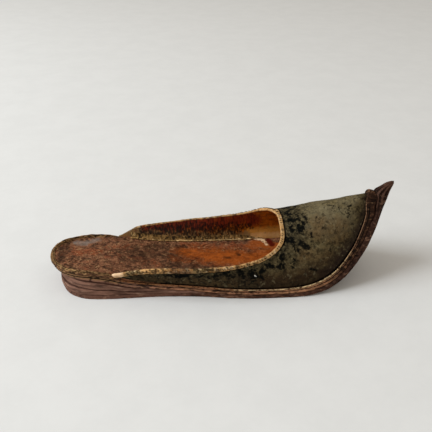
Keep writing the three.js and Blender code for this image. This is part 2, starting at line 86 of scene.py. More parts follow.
# Sole, one row per station along its bottom: station, half width, toe spring in degrees, lift of the
# bottom, lean of the side, height of the welt's top, thickness of outsole, welt and insole.
SOLE = (
    (0, 28, 0, 0, 0.115, 18.8, 3.2, 4.4, 2.4),
    (28, 28, 0, 0, 0.115, 18.6, 3.2, 4.4, 2.5),
    (38, 28.5, 0, 0, 0.115, 17.4, 3.2, 4.2, 3.2),
    (45, 28.7, 0, 0, 0.11, 15.9, 3.2, 3.9, 4.3),
    (51, 28.7, 0, 0, 0.1, 14.2, 3.2, 3.6, 5.3),
    (60, 28.5, 0, 0, 0.08, 11.8, 3.2, 3.2, 6),
    (73, 28.2, 0, 0, 0.04, 10, 3.2, 2.9, 5.6),
    (91, 28.9, 0, 0.4, 0.01, 8.2, 3.1, 2.7, 5),
    (112, 30.9, 0, 0.4, 0, 6.9, 3.1, 2.7, 4.4),
    (132, 33.6, 0, 0, 0, 6.3, 3.2, 2.8, 3.8),
    (152, 35, 0, 0, 0, 6.1, 3.2, 2.6, 3.1),
    (164, 35.2, 0, 0, 0, 6.1, 3.2, 2.6, 2.8),
    (172, 35.2, 0, 0, 0, 6.4, 3.3, 2.8, 2.6),
    (184, 34.8, 3.9, 0, 0, 7.2, 3.6, 3.3, 2.5),
    (198, 32.8, 15.7, 0, 0, 8.1, 4.1, 3.7, 2.4),
    (212, 29.3, 32.6, 0, 0, 8.4, 4.3, 3.8, 2.4),
    (226, 24, 48, 0, 0, 8.2, 4.1, 3.8, 2.4),
    (240, 17.8, 57.2, 0, 0, 7.8, 3.9, 3.6, 2.4),
    (254, 10.9, 63, 0, 0, 8.2, 4, 3.9, 2.4),
    (262, 7.3, 66.8, 0, 0, 9.2, 4.5, 4.4, 2.4),
    (270, 4.4, 69.2, 0, 0, 10.9, 5.8, 4.8, 2.4),
    (278, 2.9, 69.6, 0, 0, 12, 8.3, 3.4, 2.4),
    (288, 1.1, 61, 0, 0, 12, 1.6, 3.4, 2.4),
)
SOLE_END = SOLE[-1][0]

# Last, one row per section of the upper: station of its foot, crown's x and z, shoulder as shares of the
# half width and the height, and lean of the wall at the shoulder in degrees.
LAST = (
    (40, 40, 46, 1.04, 0.14, -12),
    (48, 48, 46, 1.1, 0.16, -26),
    (56, 56, 47, 1.14, 0.25, -28),
    (68, 68, 48, 1.22, 0.36, -27),
    (80, 80, 49, 1.28, 0.42, -27),
    (100, 100, 50, 1.29, 0.47, -24),
    (118, 118, 50, 1.2, 0.52, -14),
    (132, 132, 49.5, 1.1, 0.59, 0),
    (146, 146, 48.5, 0.97, 0.68, 16),
    (160, 159, 47.6, 0.84, 0.74, 31),
    (172, 169.5, 48.6, 0.77, 0.75, 38),
    (186, 180.5, 51.6, 0.75, 0.74, 35),
    (200, 190.5, 54.4, 0.74, 0.73, 33),
    (213, 199.5, 56.8, 0.73, 0.73, 31),
    (226, 208, 58.9, 0.73, 0.72, 28),
    (238, 215.5, 60.8, 0.73, 0.72, 25),
    (249, 222, 62.4, 0.73, 0.72, 21),
    (259, 226.6, 63.5, 0.73, 0.72, 18),
    (266, 229.1, 64.2, 0.73, 0.72, 18),
    (271, 230.4, 64.6, 0.73, 0.72, 18),
)

# Topline seen from the side: x, z and width of the binding. The old leather has slumped, so that the two
# sides differ; the part's source has the line between them.
TOPLINE_RIGHT = (
    (40, 18.4, 3.2),
    (48, 19.9, 3.4),
    (52, 21.4, 3.8),
    (57, 23.5, 4.4),
    (64, 26, 5.2),
    (70, 27.4, 5.4),
    (78, 28.2, 5.3),
    (86, 28.1, 4.9),
    (96, 27.3, 4),
    (106, 26.8, 3.4),
    (116, 27, 3.1),
    (126, 27.6, 2.7),
    (135, 28.4, 2.3),
    (143, 29.7, 2.1),
    (150.4, 31.5, 2.1),
    (156.7, 34, 2.1),
    (161.6, 36.9, 2.2),
    (165.4, 40.4, 2.2),
    (167, 43.6, 2.1),
    (167.3, 46.4, 2),
    (167.35, 48.4, 2),
    (167.4, 54, 2),
)
TOPLINE_LEFT = (
    (40, 18.4, 3.2),
    (48, 20, 3.4),
    (55, 23.6, 3.6),
    (62, 26, 3.7),
    (70, 27, 3.6),
    (78, 27.2, 3.5),
    (86, 27.2, 3.3),
    (97, 27.7, 3.1),
    (108, 28.3, 2.9),
    (119, 29.1, 2.7),
    (130, 30.6, 2.5),
    (139, 32.2, 2.4),
    (146.5, 34.4, 2.3),
    (152.3, 36.9, 2.2),
    (156.7, 39.7, 2.1),
    (160, 42.5, 2),
    (163, 45.2, 1.9),
    (165.3, 47.2, 1.9),
    (167.1, 48.4, 2),
    (167.4, 54, 2),
)


# Numbers and curves


def linear(code):
    """The linear colour of an sRGB hex code."""
    values = [int(code[i:i + 2], 16) / 255 for i in (1, 3, 5)]
    return tuple(v / 12.92 if v <= 0.04045 else ((v + 0.055) / 1.055) ** 2.4 for v in values)


def rise(value, span):
    """0 before a span, 1 after it and a soft slope between."""
    low, high = span
    share = np.clip((value - low) / (high - low), 0, 1)
    return share * share * (3 - 2 * share)


def fall(value, span):
    """1 before a span, 0 after it and a soft slope between."""
    return 1 - rise(value, span)


def hump(value, coming, going):
    """1 between two spans, 0 before the first and after the second."""
    return rise(value, coming) * fall(value, going)


def unit(vectors):
    """Vectors at length 1."""
    return vectors / np.linalg.norm(vectors, axis=-1, keepdims=True)


def run_along(points):
    """Distance along each row of points, 0 at its start."""
    steps = np.linalg.norm(np.diff(points, axis=-2), axis=-1)
    return np.concatenate([np.zeros_like(steps[..., :1]), np.cumsum(steps, axis=-1)], axis=-1)


def smooth_column(table, index):
    """A smooth curve through one column of a table over its first column; it never overshoots a row."""
    xs = np.array([row[0] for row in table], float)
    ys = np.array([row[index] for row in table], float)
    secants = np.diff(ys) / np.diff(xs)
    before, after = secants[:-1], secants[1:]
    product = before * after
    total = np.where(product > 0, before + after, 1)
    slopes = np.concatenate([secants[:1], np.where(product > 0, 2 * product / total, 0), secants[-1:]])

    def at(x):
        x = np.clip(x, xs[0], xs[-1])
        i = np.clip(np.searchsorted(xs, x) - 1, 0, len(secants) - 1)
        span = xs[i + 1] - xs[i]
        return hermite(ys[i], ys[i + 1], slopes[i] * span, slopes[i + 1] * span, (x - xs[i]) / span)

    return at


def hermite(start, end, leave, arrive, t):
    """The cubic from start to end with the given tangents."""
    t2 = t * t
    t3 = t2 * t
    kept = 2 * t3 - 3 * t2 + 1
    return kept * start + (1 - kept) * end + (t3 - 2 * t2 + t) * leave + (t3 - t2) * arrive


# Form of the shoe, as in the part's source

SOLE_NAMES = ("half", "angle", "arch", "draw", "stack", "outsole", "welt", "insole")
LAST_NAMES = ("crown_x", "crown_z", "wide", "up", "turn")
sole = {name: smooth_column(SOLE, i + 1) for i, name in enumerate(SOLE_NAMES)}
last = {name: smooth_column(LAST, i + 1) for i, name in enumerate(LAST_NAMES)}

# The bottom line of the sole on the middle plane, walked in short steps along its angle.
WALK = 0.25
WALK_S = np.arange(0, SOLE_END + WALK, WALK)
WALK_ANGLES = np.radians(sole["angle"](WALK_S[:-1] + WALK / 2))
WALK_X = np.concatenate([[0], np.cumsum(np.cos(WALK_ANGLES) * WALK)])
WALK_Z = np.concatenate([[0], np.cumsum(np.sin(WALK_ANGLES) * WALK)])


def raised(s, y, height):
    """A point at y across the shoe, raised square off the bottom of the sole at station s."""
    s, y, height = np.broadcast_arrays(np.asarray(s, float), y, height)
    angle = np.radians(sole["angle"](s))
    x = np.interp(s, WALK_S, WALK_X) - np.sin(angle) * height
    z = np.interp(s, WALK_S, WALK_Z) + sole["arch"](s) + np.cos(angle) * height
    return np.stack([x, y, z], axis=-1)


def sole_edge(s, side, inset, height):
    """A point of the sole's edge on one side, moved in by an inset."""
    s, side, inset, height = np.broadcast_arrays(np.asarray(s, float), side, inset, height)
    half = sole["half"](s) - sole["draw"](s) * height - inset
    share = np.clip((HEEL_ROUND_END - s) / (HEEL_ROUND_END - HEEL_BACK_FLOOR), 0, 1)
    points = raised(s, side * half * (1 - share ** HEEL_ROUNDNESS) ** (1 / HEEL_ROUNDNESS), height)
    back = HEEL_BACK_FLOOR - HEEL_BACK_SLOPE * height + inset
    heel_x = HEEL_ROUND_END - share * (HEEL_ROUND_END - back)
    slew = HEEL_SLEW * (SLEW_FOOT + (1 - SLEW_FOOT) * rise(height, SLEW_SPAN))
    points[..., 0] = np.where(share > 0, heel_x, points[..., 0]) - slew * share * points[..., 1]
    return points


def half_section(s, half, height, t):
    """Half a section of the last in its own plane, from the foot at t = 0 to the crown at t = 1."""
    none = np.zeros_like(half)
    foot = np.stack([half, none], -1)
    shoulder = np.stack([half * last["wide"](s), height * last["up"](s)], -1)
    crown = np.stack([none, height], -1)
    turn = np.radians(last["turn"](s))
    passing = np.stack([-np.sin(turn), np.cos(turn)], -1)
    lower = np.linalg.norm(shoulder - foot, axis=-1, keepdims=True)
    upper = np.linalg.norm(crown - shoulder, axis=-1, keepdims=True)
    chord = (shoulder - foot) / lower
    leaving = 2 * (chord * passing).sum(-1, keepdims=True) * chord - passing
    level = np.array([-1.0, 0.0])
    t = t[..., None]
    low = hermite(foot, shoulder, leaving * lower, passing * lower, 2 * t)
    high = hermite(shoulder, crown, passing * upper, level * upper, 2 * t - 1)
    return np.where(t < 0.5, low, high)


SECTION_STEP = 0.01             # share of a section over which its direction is taken
AT_CROWN = 0.9999               # above this share a section faces straight up


def wall(s, t, grow=0.0, side=RIGHT):
    """A point of the upper at station s and share t of its section, moved out by grow."""
    s, t, grow, side = np.broadcast_arrays(np.asarray(s, float), np.asarray(t, float), grow, side)
    lift = sole["stack"](s) + GAP
    middle = raised(s, 0.0, lift)
    upward = np.stack([last["crown_x"](s), np.zeros_like(s), last["crown_z"](s)], -1) - middle
    height = np.linalg.norm(upward, axis=-1)
    upward = upward / height[..., None]
    half = np.abs(sole_edge(s, LEFT, UPPER_INSET, lift)[..., 1])
    ahead = half_section(s, half, height, np.minimum(t + SECTION_STEP, 1))
    along = ahead - half_section(s, half, height, np.maximum(t - SECTION_STEP, 0))
    normal = unit(np.stack([along[..., 1], -along[..., 0]], -1))
    normal = np.where(t[..., None] > AT_CROWN, np.array([0.0, 1.0]), normal)
    flat = half_section(s, half, height, t) + normal * grow[..., None]
    points = middle + upward * flat[..., 1:]
    points[..., 1] += side * flat[..., 0]
    return points


def wall_surface(grow, side):
    """One side of the upper as a surface of station and section share."""
    def point(s, t):
        return wall(s, t, grow, side)
    return point


TOPLINE_STEPS = 700
THROAT_BACK = 135.0             # behind this x the topline is met by its height, ahead of it by its x
THROAT_CORNER = 150.0           # station up to which sections meet the topline once
SECTION_TRIES = np.linspace(0, 1, 301)
BACK_STEPS = 160
FRONT_STEPS = 90
FRONT_TRIES = np.linspace(140, 185, 701)    # stations among which the front of the throat lies
LOW_SHARES = np.linspace(0, 0.9, 181)


def topline(share, side):
    """The topline of one side seen across the shoe, x and z, moved into the upper by a share of the
    binding's width."""
    rows = np.array(TOPLINE_RIGHT if side < 0 else TOPLINE_LEFT, float)
    run = run_along(rows[:, :2])
    fine = np.linspace(0, run[-1], TOPLINE_STEPS)
    x, z, band = (smooth_column(np.column_stack([run, rows[:, i]]), 1)(fine) for i in range(3))
    along = unit(np.column_stack([np.gradient(x), np.gradient(z)]))
    return x + along[:, 1] * band * share, z - along[:, 0] * band * share


def before_topline(points, line):
    """How far points lie below or ahead of the topline; what lies above or behind it is cut away."""
    x, z = line
    k = np.argmax(x >= THROAT_BACK)
    below = np.interp(points[..., 0], x[:k + 1], z[:k + 1]) - points[..., 2]
    ahead = points[..., 0] - np.interp(points[..., 2], z[k:], x[k:])
    return np.where(points[..., 0] < x[k], below, ahead)


def zero_between(places, values, k):
    """Where values pass through zero between places k and k + 1."""
    return places[k] + (places[k + 1] - places[k]) * values[k] / (values[k] - values[k + 1])


def cut_shares(stations, line):
    """The share of each section at which the topline cuts it, 1 where it doesn't."""
    ahead = before_topline(wall(stations[:, None], SECTION_TRIES[None, :]), line)
    shares = np.ones(len(stations))
    for i, row in enumerate(ahead):
        gone = np.flatnonzero(row < 0)
        if len(gone) and gone[0] > 0:
            shares[i] = zero_between(SECTION_TRIES, row, gone[0] - 1)
    return shares


def topline_path(share, count, side):
    """Station and section share along the topline from a tab to the front of the throat, evenly spaced."""
    line = topline(share, side)
    back = np.linspace(UPPER_BACK, THROAT_CORNER, BACK_STEPS)
    back_t = cut_shares(back, line)
    front_t = np.linspace(back_t[-1], 1, FRONT_STEPS)[1:]
    ahead = before_topline(wall(FRONT_TRIES[None, :], front_t[:, None]), line)
    front = [zero_between(FRONT_TRIES, row, np.flatnonzero(row < 0)[-1]) for row in ahead]
    s = np.concatenate([back, front])
    t = np.concatenate([back_t, front_t])
    run = run_along(wall(s, t, -WALL / 2))
    even = np.linspace(0, run[-1], count)
    return np.interp(even, run, s), np.interp(even, run, t), even


def share_at_height(stations, height, grow):
    """The share of each section at which the wall is a height above the bottom of the sole."""
    z = wall(stations[:, None], LOW_SHARES[None, :], grow)[..., 2]
    return np.array([np.interp(h, row, LOW_SHARES) for h, row in zip(height, z)])


# Wear


def unevenness(points, size, octaves=2, seed=0.0):
    """Smooth noise about zero over points in millimetres, with features of the given size."""
    total = np.zeros(points.shape[:-1])
    for octave in range(octaves):
        scaled = (points.reshape(-1, 3) * (2 ** octave / size) + seed).tolist()
        values = np.array([noise.noise(p) for p in scaled])
        total += values.reshape(total.shape) / 2 ** octave
    return total


def wobbled(points, size, amount):
    """Points moved about, so that marks measured from them have uneven outlines."""
    moves = [unevenness(points, size, 3, seed) for seed in (2.0, 31.0, 57.0)]
    return points + amount * np.stack(moves, -1)


def swollen(rows, centre, scale):
    """Rows of a strip with their distance from its centre scaled."""
    return centre + (rows - centre) * scale[..., None]


def nearness(points, path, radius):
    """1 on a path, falling softly to 0 at a radius from it."""
    gap = np.full(points.shape[:-1], np.inf)
    for spot in path:
        gap = np.minimum(gap, np.linalg.norm(points - spot, axis=-1))
    return fall(gap, (0, radius))


MARK_STEPS = 9
CLEAR = 0.6                     # keeps a torn cover from showing where there is no mark
CLEAR_SPAN = (0, 0.3)


def near_line(points, surface, row, steps=MARK_STEPS):
    """Nearness to a line on a surface: start and end in the surface's two measures, then a radius."""
    a, b, c, d, radius = row
    share = np.linspace(0, 1, steps)
    return nearness(points, surface(a + (c - a) * share, b + (d - b) * share), radius)


def marks(points, surface, table):
    """Strength of listed marks: start and end in the surface's two measures, radius, strength. It is
    below zero well outside them."""
    total = np.zeros(points.shape[:-1])
    for *row, strength in table:
        total = np.maximum(total, strength * near_line(points, surface, row))
    return total - CLEAR * fall(total, CLEAR_SPAN)


# Meshes


def only(piece):
    """Selects one piece alone and makes it active."""
    bpy.ops.object.select_all(action="DESELECT")
    piece.select_set(True)
    bpy.context.view_layer.objects.active = piece


def in_frame(points):
    """Points in millimetres from the back of the heel, in the frame's metres."""
    return (points - np.array([MIDDLE_X, 0, 0])) * MM


def loft(name, points, **fields):
    """A grid laid on rows and columns of points, with a value per point for each field."""
    rows, columns = points.shape[0] - 1, points.shape[1] - 1
    bpy.ops.object.select_all(action="DESELECT")
    bpy.ops.mesh.primitive_grid_add(x_subdivisions=columns, y_subdivisions=rows)
    piece = bpy.context.object
    piece.name = piece.data.name = name
    piece.data.vertices.foreach_set("co", in_frame(points).reshape(-1))
    for field, values in fields.items():
        attribute = piece.data.attributes.new(field, "FLOAT", "POINT")
        flat = np.broadcast_to(values, points.shape[:2]).reshape(-1)
        attribute.data.foreach_set("value", flat.astype(np.float32))
    piece.data.update()
    bpy.ops.object.shade_smooth()
    return piece


def joined(name, pieces):
    """Several pieces as one."""
    only(pieces[0])
    for piece in pieces[1:]:
        piece.select_set(True)
    bpy.ops.object.join()
    pieces[0].name = pieces[0].data.name = name
    return pieces[0]


def merged(piece, outward=True):
    """Closes a piece's seams and poles and, on a closed piece, turns its faces outwards."""
    only(piece)
    bpy.ops.object.mode_set(mode="EDIT")
    bpy.ops.mesh.select_all(action="SELECT")
    bpy.ops.mesh.remove_doubles(threshold=MERGE)
    if outward:
        bpy.ops.mesh.normals_make_consistent(inside=False)
    bpy.ops.object.mode_set(mode="OBJECT")
    return piece


def thickened(piece, thickness):
    """Gives a sheet its thickness in metres, behind the side that its faces point to."""
    only(piece)
    modifier = piece.modifiers.new("Thickness", "SOLIDIFY")
    modifier.thickness = thickness
    modifier.offset = -1
    bpy.ops.object.modifier_apply(modifier=modifier.name)
    return piece


def rounded_ends(points, rows, first=True, final=True):
    """Draws the last rows of a sweep together, so that its ends are round."""
    points = points.copy()
    for wanted, step in ((first, 1), (final, -1)):
        for k in range(rows if wanted else 0):
            row = k * step + min(step, 0)
            centre = points[row].mean(axis=0)
            share = 1 - k / rows
            points[row] = centre + (points[row] - centre) * math.sqrt(max(1 - share * share, 0))
    return points


def sweep(path, up, outline):
    """Rows of an outline carried along a path; outline holds across and upward offsets."""
    along = unit(np.gradient(path, axis=0))
    across = unit(np.cross(along, up))
    square = np.cross(across, along)
    outline = np.broadcast_to(outline, (len(path),) + outline.shape[-2:])
    return path[:, None] + across[:, None] * outline[..., :1] + square[:, None] * outline[..., 1:]


def closed_ring(points):
    """Repeats the first column at the end, so that merging closes the ring."""
    return np.concatenate([points, points[:, :1]], axis=1)


SHORT_OF_END = 1.001            # keeps a place before the last row, so that a next row follows it


def between(rows, i, j):
    """Points between the rows and columns of rings of points."""
    i = np.clip(i, 0, len(rows) - SHORT_OF_END)
    a, b = np.floor(i).astype(int), np.floor(j).astype(int)
    f, g = (i - a)[..., None], (j - b)[..., None]
    b, c = b % rows.shape[1], (b + 1) % rows.shape[1]
    one = rows[a, b] * (1 - f) + rows[a + 1, b] * f
    next_one = rows[a, c] * (1 - f) + rows[a + 1, c] * f
    return one * (1 - g) + next_one * g


def draws(rng, low, high, count):
    """Random values as a column, one for each thread."""
    return rng.uniform(low, high, count)[:, None]


THREAD_ASIDE = np.array([0.13, 0.21, 0.97])     # a direction that no thread follows
THREAD_TAPER = 0.96


def threads(name, paths, radius, sides=5):
    """Many short threads as one mesh: paths has one row of points per thread."""
    count, steps = paths.shape[:2]
    along = unit(np.gradient(paths, axis=1))
    across = unit(np.cross(along, THREAD_ASIDE))
    square = np.cross(across, along)
    turns = np.arange(sides) * FULL_TURN / sides
    taper = np.sqrt(1 - np.linspace(-THREAD_TAPER, THREAD_TAPER, steps) ** 2)
    swell = np.reshape(radius, (-1, 1, 1, 1)) * taper[None, :, None, None]
    ring = np.cos(turns)[:, None] * across[:, :, None] + np.sin(turns)[:, None] * square[:, :, None]
    points = (paths[:, :, None] + ring * swell).reshape(-1, 3)
    mesh = bpy.data.meshes.new(name)
    mesh.from_pydata(in_frame(points).tolist(), [], thread_faces(count, steps, sides))
    piece = bpy.data.objects.new(name, mesh)
    bpy.context.scene.collection.objects.link(piece)
    merged(piece)
    bpy.ops.object.shade_smooth()
    return piece


def thread_faces(count, steps, sides):
    """Corners of the walls and the two ends of every thread."""
    cells = np.arange(steps * sides).reshape(steps, sides)
    turned = np.roll(cells, -1, 1)
    walls = np.stack([cells[:-1], turned[:-1], turned[1:], cells[1:]], -1)
    single = [tuple(face) for face in walls.reshape(-1, 4)]
    single += [tuple(cells[0][::-1]), tuple(cells[-1])]
    return [tuple(int(i) + k * steps * sides for i in face) for k in range(count) for face in single]


def finished(piece, slot, material, *nodes):
    """Puts a finished piece in place of its solids and gives it its material."""
    piece.data.materials.clear()
    piece.data.materials.append(material)
    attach(piece, "root")
    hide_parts(*nodes)


# Materials

LEATHER_IOR = 1.5
EVEN = (1, 1, 1)
UPRIGHT = (1.7, 1.0, 0.45)      # draws a pattern out up the wall
LENGTHWISE = (0.35, 1.0, 1.0)   # draws a pattern out along the shoe
CLOUD_NOISE = {"Detail": 7.0, "Roughness": 0.74}
TEAR_NOISE = {"Detail": 5.0, "Roughness": 0.7}
FLECK_NOISE = {"Detail": 2.0, "Roughness": 0.6}
PORE_NOISE = {"Detail": 3.0, "Roughness": 0.6}
FLECK_TOP = 0.7                 # value of the noise that hardly a fleck passes
FLECK_EDGE = 0.08
TONE_STOPS = (0.4, 0.5, 0.6)    # values of the cloud with the dark, the plain and the light tone
DULL_SPAN = (0.35, 0.65)        # values of the cloud between which the roughness changes
FIBRE_GRAIN = (0.4, 0.05)


def add(tree, kind, inputs=None, stops=None, **settings):
    """Adds a node with its settings, its colour stops, and its inputs' values or links."""
    made = tree.nodes.new(kind)
    for name, value in settings.items():
        setattr(made, name, value)
    for name, value in (inputs or {}).items():
        if isinstance(value, bpy.types.NodeSocket):
            tree.links.new(value, made.inputs[name])
        else:
            made.inputs[name].default_value = value
    for i, (position, colour) in enumerate(stops or ()):
        elements = made.color_ramp.elements
        stop = elements[i] if i < 2 else elements.new(position)
        stop.position = position
        stop.color = (*colour, 1)
    return made


def per_metre(size):
    """The scale of a pattern whose features have a size in millimetres."""
    return 1 / (size * MM)


def paint(colour):
    """The linear colour of a hex code or of a colour property."""
    return linear(colour) if isinstance(colour, str) else tuple(colour)


def tone_run(colour, dark, light):
    """Colour stops from a dark to a light share of one colour, for a cloudy mottle."""
    tones = [tuple(v * share for v in colour) for share in (dark, 1, light)]
    return tuple(zip(TONE_STOPS, tones))


def cover(field, colour, strength, size=3.0, ragged=2.0, soft=0.2, pull=EVEN):
    """A colour laid over a field of the mesh. Noise of a size in millimetres, drawn out by the pull, tears
    its edge; soft is half the width of that edge."""
    return field, colour, strength, size, ragged, soft, pull


def covered(tree, where, colour, covers):
    """A colour under its covers."""
    for field, tone, strength, size, ragged, soft, pull in covers:
        amount = add(tree, "ShaderNodeAttribute", attribute_name=field).outputs["Fac"]
        pulled = add(tree, "ShaderNodeMapping", {"Vector": where, "Scale": pull}).outputs[0]
        tear = add(tree, "ShaderNodeTexNoise", {
            "Vector": pulled, "Scale": per_metre(size), **TEAR_NOISE}).outputs["Fac"]
        torn = add(tree, "ShaderNodeMath", {
            0: tear, 1: ragged, 2: amount}, operation="MULTIPLY_ADD").outputs[0]
        middle = 0.5 + ragged / 2
        shown = add(tree, "ShaderNodeMapRange", {
            "Value": torn, "From Min": middle - soft, "From Max": middle + soft,
            "To Max": strength}).outputs[0]
        colour = add(tree, "ShaderNodeMix", {
            0: shown, 6: colour, 7: (*paint(tone), 1)}, data_type="RGBA").outputs[2]
    return colour


def flecked(tree, lie, colour, flecks, curl):
    """A colour with flecks: size in millimetres, cover, colour and strength of each kind."""
    for size, share, tone, strength in flecks:
        spots = add(tree, "ShaderNodeTexNoise", {
            "Vector": lie, "Scale": per_metre(size), "Distortion": curl, **FLECK_NOISE}).outputs["Fac"]
        least = FLECK_TOP - share
        shown = add(tree, "ShaderNodeMapRange", {
            "Value": spots, "From Min": least, "From Max": least + FLECK_EDGE,
            "To Max": strength}).outputs[0]
        colour = add(tree, "ShaderNodeMix", {
            0: shown, 6: colour, 7: (*paint(tone), 1)}, data_type="RGBA").outputs[2]
    return colour


def worn_finish(name, ground, tones, mottle, stretch=EVEN, layers=(), flecks=(), patches=(),
                roughness=(0.6, 0.85), grain=(0.8, 0.12), curl=0.0, gloss=0.05):
    """Aged leather, thread or paper. The ground's dark and light tones run over a cloudy mottle of a size in
    millimetres; covers lie under its flecks as layers and over them as patches. The grain is its size and
    its depth in millimetres. Dry fibre scatters most of the gloss away, so that gloss is a small share of
    the full reflection."""
    material = bpy.data.materials.new(name)
    material.use_nodes = True
    tree = material.node_tree
    tree.nodes.clear()
    where = add(tree, "ShaderNodeTexCoord").outputs["Object"]
    lie = add(tree, "ShaderNodeMapping", {"Vector": where, "Scale": stretch}).outputs[0]
    cloud = add(tree, "ShaderNodeTexNoise", {
        "Vector": lie, "Scale": per_metre(mottle), **CLOUD_NOISE}).outputs["Fac"]
    stops = tone_run(paint(ground), *tones)
    colour = add(tree, "ShaderNodeValToRGB", {"Fac": cloud}, stops).outputs["Color"]
    colour = covered(tree, where, colour, layers)
    colour = flecked(tree, lie, colour, flecks, curl)
    colour = covered(tree, where, colour, patches)
    dull = add(tree, "ShaderNodeMapRange", {
        "Value": cloud, "From Min": DULL_SPAN[0], "From Max": DULL_SPAN[1],
        "To Min": roughness[0], "To Max": roughness[1]}).outputs[0]
    pores = add(tree, "ShaderNodeTexNoise", {
        "Vector": lie, "Scale": per_metre(grain[0]), "Distortion": curl, **PORE_NOISE}).outputs["Fac"]
    bump = add(tree, "ShaderNodeBump", {
        "Height": pores, "Strength": 1.0, "Distance": grain[1] * MM}).outputs["Normal"]
    shader = add(tree, "ShaderNodeBsdfPrincipled", {
        "IOR": LEATHER_IOR, "Specular IOR Level": gloss,
        "Base Color": colour, "Roughness": dull, "Normal": bump}).outputs["BSDF"]
    add(tree, "ShaderNodeOutputMaterial", {"Surface": shader})
    return material


def length(name, default, description):
    """A size property in metres."""
    return bpy.props.FloatProperty(name=name, description=description, default=default, unit="LENGTH")


def tint(name, code, description):
    """A colour property with an sRGB hex default."""
    return bpy.props.FloatVectorProperty(
        name=name, description=description, default=linear(code), size=3, min=0, max=1, subtype="COLOR")


class SlipperSizes(bpy.types.PropertyGroup):
    """Sizes of the trim that a user may change."""

    skin: length("Vamp leather", 0.0006, "Thickness of the leather of the vamp")
    lining: length("Lining leather", 0.0006, "Thickness of the leather of the lining")
    stitch_pitch: length("Binding stitch pitch", 0.0019, "Distance between the stitches over the binding")
    stitch_radius: length("Thread radius", 0.00025, "Radius of the thread of the binding")
    welt_pitch: length("Welt stitch pitch", 0.0031, "Distance between the stitches along the welt")
    fold_depth: length("Beak fold depth", 0.0008, "Depth of the folds along the beak")
    floor: length("Floor", 6.0, "Side of the square floor")


class SlipperColours(bpy.types.PropertyGroup):
    """Main colours of the leathers and of the floor that a user may change."""

    nap: tint("Worn nap", "#564b33", "Olive ground of the vamp where its nap is rubbed away")
    pile: tint("Nap left", "#050707", "Blue-black nap that is left on the vamp")
    lining: tint("Lining", "#9c520b", "Orange-brown lining")
    insole: tint("Insole", "#704a34", "Brown insole of the seat")
    worn: tint("Worn insole", "#a8541c", "Orange leather where the foot has worn the insole")
    binding: tint("Binding", "#cf9d66", "Pale leather of the binding")
    rand: tint("Rand", "#c4a67c", "Pale piping round the vamp")
    welt: tint("Welt", "#96684d", "Brown edge of the welt")
    outsole: tint("Outsole", "#4a3024", "Dark edge of the outsole")
    heel: tint("Heel", "#6f5042", "Purple-brown stack of the heel")
    rim: tint("Seat rim", "#8a6543", "Tan rolled rim of the seat")
    floor: tint("Floor", "#e3e2df", "Pale floor")


# Sole layers

HEEL_TURNS = np.radians(np.linspace(0, 90, 46))
LEAST_STEP = 0.2                # stations closer than this to the first one are left out
EDGE_STEPS = 14
TOP_STEPS = 6
MOST_EASE = 0.45                # share of a layer's thickness that one eased edge may take


def stations_to(end, begin=HEEL_BACK_FLOOR, spacing=1.2):
    """Stations along the sole, close together round the heel."""
    heel = HEEL_ROUND_END - (HEEL_ROUND_END - HEEL_BACK_FLOOR) * np.cos(HEEL_TURNS) ** (2 / HEEL_ROUNDNESS)
    ahead = np.linspace(HEEL_ROUND_END, end, int((end - HEEL_ROUND_END) / spacing) + 1)[1:]
    both = np.concatenate([heel, ahead])
    return np.concatenate([[begin], both[both > begin + LEAST_STEP]]) if begin > HEEL_BACK_FLOOR else both


def layer_rows(stations, low, high, inset, ease, relief=None, steps=EDGE_STEPS, across=TOP_STEPS, crown=None):
    """Rows round each section of a layer of the sole: right edge up, top across, left edge down, bottom.
    relief cuts into the edge by station, side and height; crown lifts the top by station and y."""
    s = stations[:, None]
    soft = np.minimum(ease, MOST_EASE * (high - low))[:, None]
    height = low[:, None] + (high - low)[:, None] * np.linspace(0, 1, steps + 1)[None, :]
    corner = np.minimum(height - low[:, None], high[:, None] - height)
    inside = np.clip(1 - corner / soft, 0, 1)
    eased = soft * (1 - np.sqrt(np.maximum(1 - inside * inside, 0)))
    sides = []
    for side in (RIGHT, LEFT):
        cut = relief(s, side, height) if relief else 0.0
        sides.append(sole_edge(s, side, inset[:, None] + eased + cut, height))
    right, left = sides
    span = np.linspace(0, 1, across + 1)[None, 1:-1, None]
    top = right[:, -1:] + (left[:, -1:] - right[:, -1:]) * span
    if crown:
        top[..., 2] += crown(s, top[..., 1])
    bottom = left[:, :1] + (right[:, :1] - left[:, :1]) * span
    return closed_ring(np.concatenate([right, top, left[:, ::-1], bottom], axis=1))


def layer_shares(steps):
    """Height share of each column of layer_rows."""
    up = np.linspace(0, 1, steps + 1)
    top = np.ones(TOP_STEPS - 1)
    return np.concatenate([up, top, up[::-1], 0 * top, [0]])[None, :]


EDGE_LUMPS = 0.2
HEEL_HOLLOW = 2.6
HOLLOW_IN = (3.0, 11.0)         # heights between which the hollow comes and goes
HOLLOW_OUT = (13.0, 18.0)
HOLLOW_END = (10, 34)           # stations over which it runs out along the heel


def heel_hollow(s, height):
    """The hollow round the back of the heel, between the rim and the lower lift."""
    return HEEL_HOLLOW * hump(height, HOLLOW_IN, HOLLOW_OUT) * fall(s, HOLLOW_END)


def edge_relief(s, side, height):
    """Hand-made unevenness of the sole's edge."""
    return EDGE_LUMPS * unevenness(sole_edge(s, side, 0.0, height), 5.0, 3, 7.7)


# Forms of the toe: size, and the stations between which each comes in and goes out.
TOE_KEEL = (1.3, (220, 250), (270, 286))        # how far the outsole bellies out under the toe
TOE_LOBE = (1.3, (260, 270), (280, 287))        # how far the layers swell over the toe, at the beak's root
BEAK_ROOT = (1.5, (254, 266), (271, 279))       # how much thinner the outsole is there, and the welt thicker


def toe_form(form, s):
    """Size of a form of the toe at a station."""
    size, coming, going = form
    return size * hump(s, coming, going)


